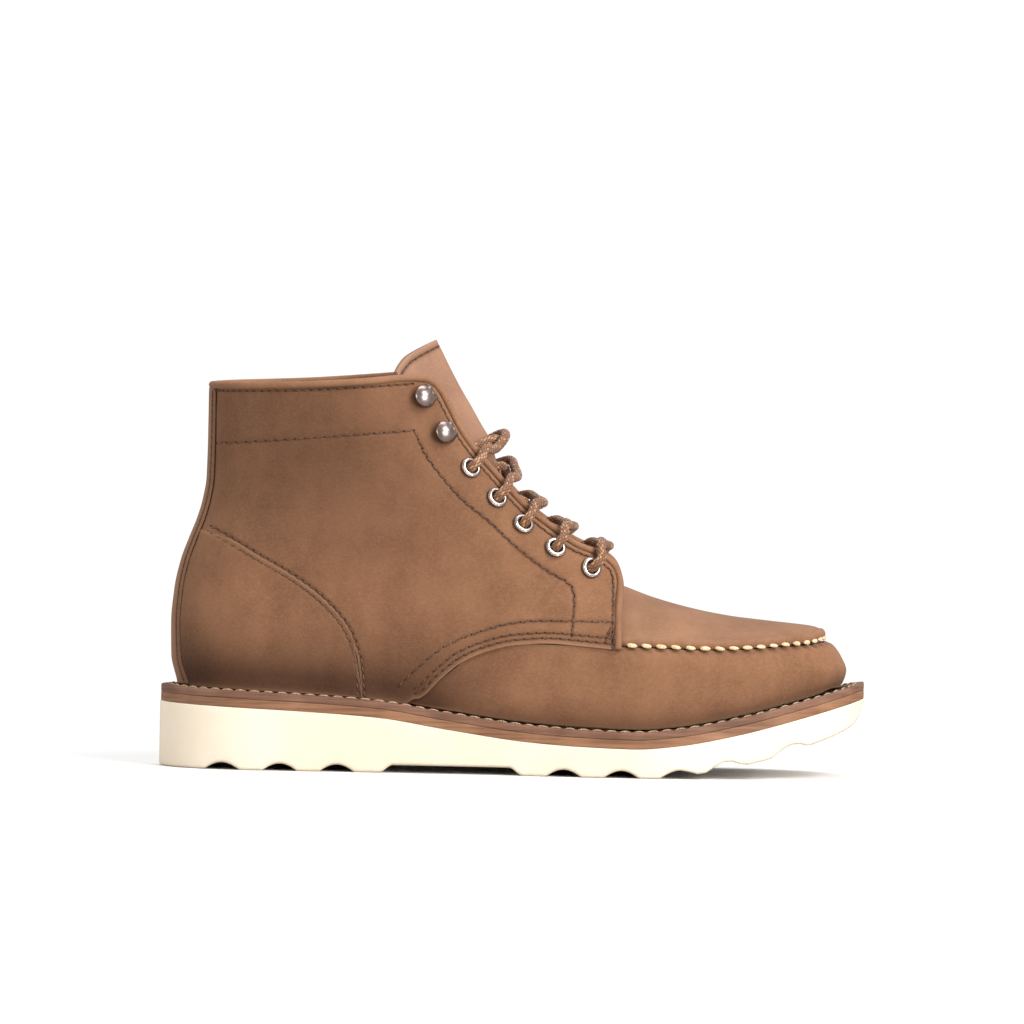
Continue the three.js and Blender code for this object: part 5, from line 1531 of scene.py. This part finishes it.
needle_hole_shades("tongue_needle_hole_shades", tongue_row, 0.42, "tongue")

# ---------------------------------------------------------------- rolled edge of the shaft
PIPE_HALF = 1.55
COLLAR_SHARES = np.array([0.99, 0.8, 0.6, 0.45, 0.3, 0.15])


def pipe_side(side):
    """The rolled edge from the foot of the facing up and round to the centre back."""
    ends = walked(PIPE_LINE[:-1])
    walks = COLLAR_SHARES * float(walk_to(*PIPE_LINE[-1]))
    collar = pairs(walks, collar_line(PIPING_RADIUS)(walks))
    spots = np.vstack([ends, collar])
    patch = side_walk(side)
    p, _ = lifted(patch, spots[:, 0], spots[:, 1], np.full(len(spots), 0.1))
    return swung(p)


back_top = swung(lifted(from_back, np.array([0.0]), collar_line(PIPING_RADIUS)(np.array([0.0])),
                        np.array([0.1]))[0])
pipe_points = np.vstack([pipe_side(-1), back_top, pipe_side(1)[::-1]])
pipe_path = even(flowing(pipe_points, 24), 1.1)
swell = 1 + 0.05 * wander(pipe_path, 22, 3)
pipe_radius = np.broadcast_to((PIPE_HALF * swell)[:, None], (len(pipe_path), 18))
edge_piping = skin("rolled_edge", tube_rings(pipe_path, pipe_radius, 18), ROLLED)
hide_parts("edge_piping")


# ---------------------------------------------------------------- threads
stitches("seam_stitches", thread_rows, DARK_THREAD, 0.8, 0.66, 0.55, lean=0.26,
         sink=0.12, seed=12)
needle_hole_shades("seam_needle_hole_shades", hole_rows, 0.46)

TACK_SPOTS = np.array([[39.6, 57.4], [42.6, 59.6], [40.2, 61.4], [43.0, 57.0], [41.4, 63.4]])
tack_rows = []
for side in SIDES.values():
    for low, high in zip(TACK_SPOTS, TACK_SPOTS[::-1] + [0.9, 1.6]):
        ends = np.stack([low, mix(low, high, 0.5) + [0.4, 0.3], high])
        tack_rows.append(on_side(ends[:, 0], ends[:, 1], side, np.full(3, 0.35)))
stitches("bar_tacks", tack_rows, DARK_THREAD, 1.05, 0.8, 0.8, seed=19)


# ---------------------------------------------------------------- eyelets, hooks and rivets
EYELET_OUTSIDE = 0.65
FLANGE = 0.7
FLANGE_RADIUS = 4.75
ROLLED_RING_RADIUS = 4.15
EYELET_BORE = 2.5
EYELET_BACK = -FACING_DEPTH - 1.0
eyelet_profile = rounded(
    [[EYELET_BORE + 0.6, EYELET_OUTSIDE - 0.5], [ROLLED_RING_RADIUS, EYELET_OUTSIDE + 0.2],
     [ROLLED_RING_RADIUS - 0.15, EYELET_OUTSIDE + 1.05], [EYELET_BORE + 0.45, EYELET_OUTSIDE + 1.1],
     [EYELET_BORE, EYELET_OUTSIDE + 0.1], [EYELET_BORE, EYELET_BACK],
     [FLANGE_RADIUS - 0.6, EYELET_BACK - 0.3],
     [FLANGE_RADIUS - 0.6, EYELET_BACK + 0.35], [EYELET_BORE + 0.6, EYELET_BACK + 0.5]], 0.7, 6)
base_profile = rounded(
    [[EYELET_BORE + 0.65, EYELET_OUTSIDE - 0.2], [FLANGE_RADIUS, EYELET_OUTSIDE - 0.25],
     [FLANGE_RADIUS - 0.1, EYELET_OUTSIDE + 0.45], [EYELET_BORE + 0.65, EYELET_OUTSIDE + 0.6]], 0.35, 5)
hook_base_profile = rounded([[0.01, 0.45], [5.0, 0.45], [5.1, 1.1], [4.1, 1.75], [0.01, 1.8]], 0.5, 5)
hook_stem_profile = rounded([[0.01, 1.2], [2.7, 1.2], [2.1, 2.0], [2.1, 3.3], [3.0, 3.75], [0.01, 3.8]],
                            0.5, 5)


TO_TOE = (1, 0, 0)
TURNED_SIDES = 48


def turned(name, profile, spot, normal, finish, closed=False):
    rings = lathe(profile, spot, normal, TO_TOE, TURNED_SIDES)
    return skin(name, rings.transpose(1, 0, 2), finish, closed)


def hook_cap(name, spot, normal, forward):
    """A domed cap whose two front points stand either side of a scooped edge."""
    normal = unit(normal)
    a = unit(forward - normal * (forward @ normal))
    b = np.cross(normal, a)
    turn = np.linspace(0, 2 * np.pi, 72, endpoint=False)
    horn = np.exp(-((np.abs(turn - np.pi) - np.pi + 0.5) / 0.24) ** 2)
    scoop = np.exp(-((np.pi - np.abs(turn - np.pi)) / 0.3) ** 2)
    outline = 4.95 + 1.25 * horn - 0.8 * scoop
    spot = spot - a * 2.3
    rows = []
    for share, height in ((0.02, 6.3), (0.3, 6.15), (0.55, 5.75), (0.78, 5.1), (0.93, 4.4), (1.0, 3.75),
                          (0.985, 3.35), (0.93, 3.2), (0.6, 3.7), (0.02, 3.8)):
        radius = outline * share
        rise = height + 0.2 * horn * share ** 3
        rows.append(spot + np.cos(turn)[:, None] * a * radius[:, None]
                    + np.sin(turn)[:, None] * b * radius[:, None] + normal * rise[:, None])
    return skin(name, np.array(rows), CAP_NICKEL)


for side_name, side in SIDES.items():
    for k, (x, z) in enumerate(EYELETS, 1):
        spot, normal = on_side(x, z, side)
        label = "%s_%d" % (side_name, k)
        barrel = turned("eyelet_ring_" + label, eyelet_profile, spot, normal, NICKEL, closed=True)
        turned("eyelet_flange_" + label, base_profile, spot, normal, DARK_NICKEL, closed=True)
        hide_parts("eyelet_" + label)
    for k, (x, z) in enumerate(HOOKS, 1):
        spot, normal = on_side(x, z, side)
        ahead, _ = on_side(x + 4, z + 1.6, side)
        label = "%s_%d" % (side_name, k)
        cap = hook_cap("hook_cap_" + label, spot, normal, ahead - spot)
        turned("hook_base_" + label, hook_base_profile, spot, normal, DARK_NICKEL)
        turned("hook_stem_" + label, hook_stem_profile, spot, normal, NICKEL)
        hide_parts("hook_" + label)


# ---------------------------------------------------------------- the laced lace
ABOVE_EYELET = 0.65 + 0.7 + 0.3 + LACE_RADIUS
ABOVE_PIPING = 0.1 + PIPING_RADIUS + 0.6 + LACE_RADIUS
ON_TONGUE = LACE_RADIUS + 1.3
CROSSING_GAP = 0.4
STRAND_SHIFT = 1.6
LACED = np.vstack([EYELETS, [[-25.6, 140]]])
pipe_at = line(PIPE_LINE)(np.linspace(0, 1, 121))


def rig(k, side):
    """Where eyelet k sits, the edge beside it, and the ways along and out to that edge."""
    edge_at = pipe_at[np.argmin(np.linalg.norm(pipe_at - LACED[k], axis=1))]
    spot, normal = on_side(*LACED[k], side)
    edge, edge_normal = on_side(*edge_at, side)
    ahead = on_side(*LACED[min(k + 1, len(LACED) - 1)], side)[0]
    behind = on_side(*LACED[max(k - 1, 0)], side)[0]
    reach = edge - spot
    return {"spot": spot, "normal": normal, "edge": edge, "edge_normal": edge_normal, "edge_at": edge_at,
            "along": unit(ahead - behind), "out": unit(reach - normal * (reach @ normal))}


def riser(k, side):
    """Up through eyelet k and over the edge."""
    r = rig(k, side)
    at = lambda height: r["spot"] + r["normal"] * height
    return [at(0.6 * LACE_RADIUS - LACE_CHANNEL), at(EYELET_BACK - FLANGE),
            at(EYELET_OUTSIDE + FLANGE + 0.9), at(ABOVE_EYELET) + r["out"] * LACE_RADIUS * 0.8,
            at(ABOVE_EYELET) + r["out"] * LACE_RADIUS * 2.2,
            r["edge"] + r["edge_normal"] * ABOVE_PIPING + r["along"] * STRAND_SHIFT]


def arrival(k, side):
    """Under the edge and along to the foot of eyelet k."""
    r = rig(k, side)
    return [r["edge"] - r["edge_normal"] * LACE_CHANNEL - r["along"] * STRAND_SHIFT,
            r["spot"] - r["normal"] * LACE_CHANNEL + r["out"] * LACE_RADIUS * 1.4]


def crossing(k, side, on_top):
    """From the edge of one side to the edge of the other, over the tongue."""
    start_z, end_z = rig(k, side)["edge_at"][1], rig(k + 1, side)["edge_at"][1]
    route = []
    for walk in (17, 6, -6, -17):
        z = mix(start_z, end_z, (27 - walk) / 54) + 3 * (1 - abs(walk) / 27)
        lying = ON_TONGUE - tongue_sink(walk, z)
        lift = (LACE_RADIUS * 2 + CROSSING_GAP if on_top else 0) * smooth((20 + walk) / 20)
        start = (ABOVE_PIPING - lying - lift) * smooth((walk - 4) / 26)
        route.append(swung(lifted(from_front, side * walk, z, lying + lift + start)[0]))
    return route


def strand(side):
    route = []
    for k in range(len(EYELETS)):
        here = side if k % 2 == 0 else -side
        if k:
            route += arrival(k, here)
        route += riser(k, here) + crossing(k, here, here < 0)
    last = rig(len(EYELETS), side if len(EYELETS) % 2 == 0 else -side)
    return route + [last["edge"] - last["edge_normal"] * LACE_CHANNEL]


def bar_half(side):
    edge_z = rig(0, side)["edge_at"][1]
    return [swung(lifted(from_front, side * walk, edge_z + 3 * (1 - walk / 27) - 1.5,
                         -LACE_CHANNEL)[0]) for walk in (16, 8)]


lace_route = (strand(-1)[::-1] + arrival(0, -1)[::-1] + bar_half(-1) + bar_half(1)[::-1] + arrival(0, 1)
              + strand(1))
laced, _ = laid_lace("laced_lace", flowing(np.array(lace_route), 20))
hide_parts("lace")


# ---------------------------------------------------------------- inside the boot
FOOTBED_LOW, FOOTBED_HIGH = 3.2, 7.7
FOOTBED_INSET = 17.4
sole_layer("footbed_sock", lambda x: welt_top(x) + FOOTBED_LOW, lambda x: welt_top(x) + FOOTBED_HIGH,
           FOOTBED_INSET, 0.4, 1.4, SOCK, "footbed")

KEPT = {"heel_counter": FIBRE, "insole_board": FIBRE, "shank": STEEL, "steel_toe_cap": STEEL,
        "bottom_filler": CORK, "lining_vamp": LINING}
KEPT.update({"hook_washer_%s_%d" % (side_name, k): DARK_NICKEL for side_name in SIDES for k in (1, 2)})
for node, finish in KEPT.items():
    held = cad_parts[node]
    for socket in held.material_slots:
        socket.material = finish


# ---------------------------------------------------------------- floor and light
FLOOR_SIZE = 40.0
floor_mesh = bpy.data.meshes.new("floor")
half = FLOOR_SIZE / 2
floor_mesh.from_pydata([(-half, -half, 0), (half, -half, 0), (half, half, 0), (-half, half, 0)], [],
                       [(0, 1, 2, 3)])
floor = bpy.data.objects.new("floor", floor_mesh)
bpy.context.scene.collection.objects.link(floor)
floor_finish, floor_graph, floor_shader, floor_where = new_finish("studio_floor")
faint = floor_graph.noise(floor_where, 1.5, 2.0)
floor_graph.link(floor_graph.mix(faint, (0.95, 0.95, 0.95, 1), (0.97, 0.97, 0.97, 1)),
                 floor_shader.inputs["Base Color"])
floor_shader.inputs["Roughness"].default_value = 0.9
far = floor_graph.node("ShaderNodeVectorMath", operation="LENGTH")
floor_graph.link(floor_where, far.inputs[0])
white = floor_graph.node("ShaderNodeEmission")
white.inputs["Strength"].default_value = 1.05
lit = floor_graph.node("ShaderNodeMixShader")
floor_graph.link(floor_graph.ramp(far.outputs["Value"], 0.155, 0.27), lit.inputs[0])
floor_graph.link(floor_shader.outputs[0], lit.inputs[1])
floor_graph.link(white.outputs[0], lit.inputs[2])
soft = floor_graph.node("ShaderNodeBsdfDiffuse")
soft.inputs["Color"].default_value = (0.42, 0.41, 0.40, 1)
seen = floor_graph.node("ShaderNodeMixShader")
floor_graph.link(floor_graph.node("ShaderNodeLightPath").outputs["Is Camera Ray"], seen.inputs[0])
floor_graph.link(soft.outputs[0], seen.inputs[1])
floor_graph.link(lit.outputs[0], seen.inputs[2])
floor_output = floor_finish.node_tree.get_output_node("ALL")
floor_graph.link(seen.outputs[0], floor_output.inputs["Surface"])
floor_mesh.materials.append(floor_finish)

WORLD_SEEN, WORLD_LIGHT = 1.05, 0.55
world = bpy.data.worlds.new("studio")
world.use_nodes = True
sky = Graph(world.node_tree)
background = world.node_tree.nodes["Background"]
background.inputs["Color"].default_value = (1.0, 1.0, 1.0, 1)
direct = sky.node("ShaderNodeLightPath").outputs["Is Camera Ray"]
sky.link(sky.math("ADD", sky.math("MULTIPLY", direct, WORLD_SEEN - WORLD_LIGHT), WORLD_LIGHT),
         background.inputs["Strength"])
bpy.context.scene.world = world
bpy.context.scene.view_settings.view_transform = "Standard"


def softbox(name, spot, aim, size, power, colour):
    data = bpy.data.lights.new(name, "AREA")
    data.shape = "RECTANGLE"
    data.size, data.size_y = size
    data.energy = power
    data.color = colour
    lamp = bpy.data.objects.new(name, data)
    lamp.location = spot
    lamp.rotation_euler = (Vector(aim) - Vector(spot)).to_track_quat("-Z", "Y").to_euler()
    bpy.context.scene.collection.objects.link(lamp)


BOOT_MIDDLE = (0.0, 0.0, 0.09)
softbox("key", (1.3, -1.3, 1.7), BOOT_MIDDLE, (1.1, 1.1), 41, (1.0, 0.97, 0.94))
softbox("front", (1.35, -2.0, 0.55), BOOT_MIDDLE, (1.2, 0.9), 44, (1.0, 0.98, 0.96))
softbox("heel_fill", (-2.0, -0.8, 0.4), BOOT_MIDDLE, (0.9, 0.7), 14, (1.0, 0.97, 0.94))
softbox("top", (0.0, 0.5, 2.2), BOOT_MIDDLE, (1.6, 1.2), 24, (1.0, 1.0, 1.0))
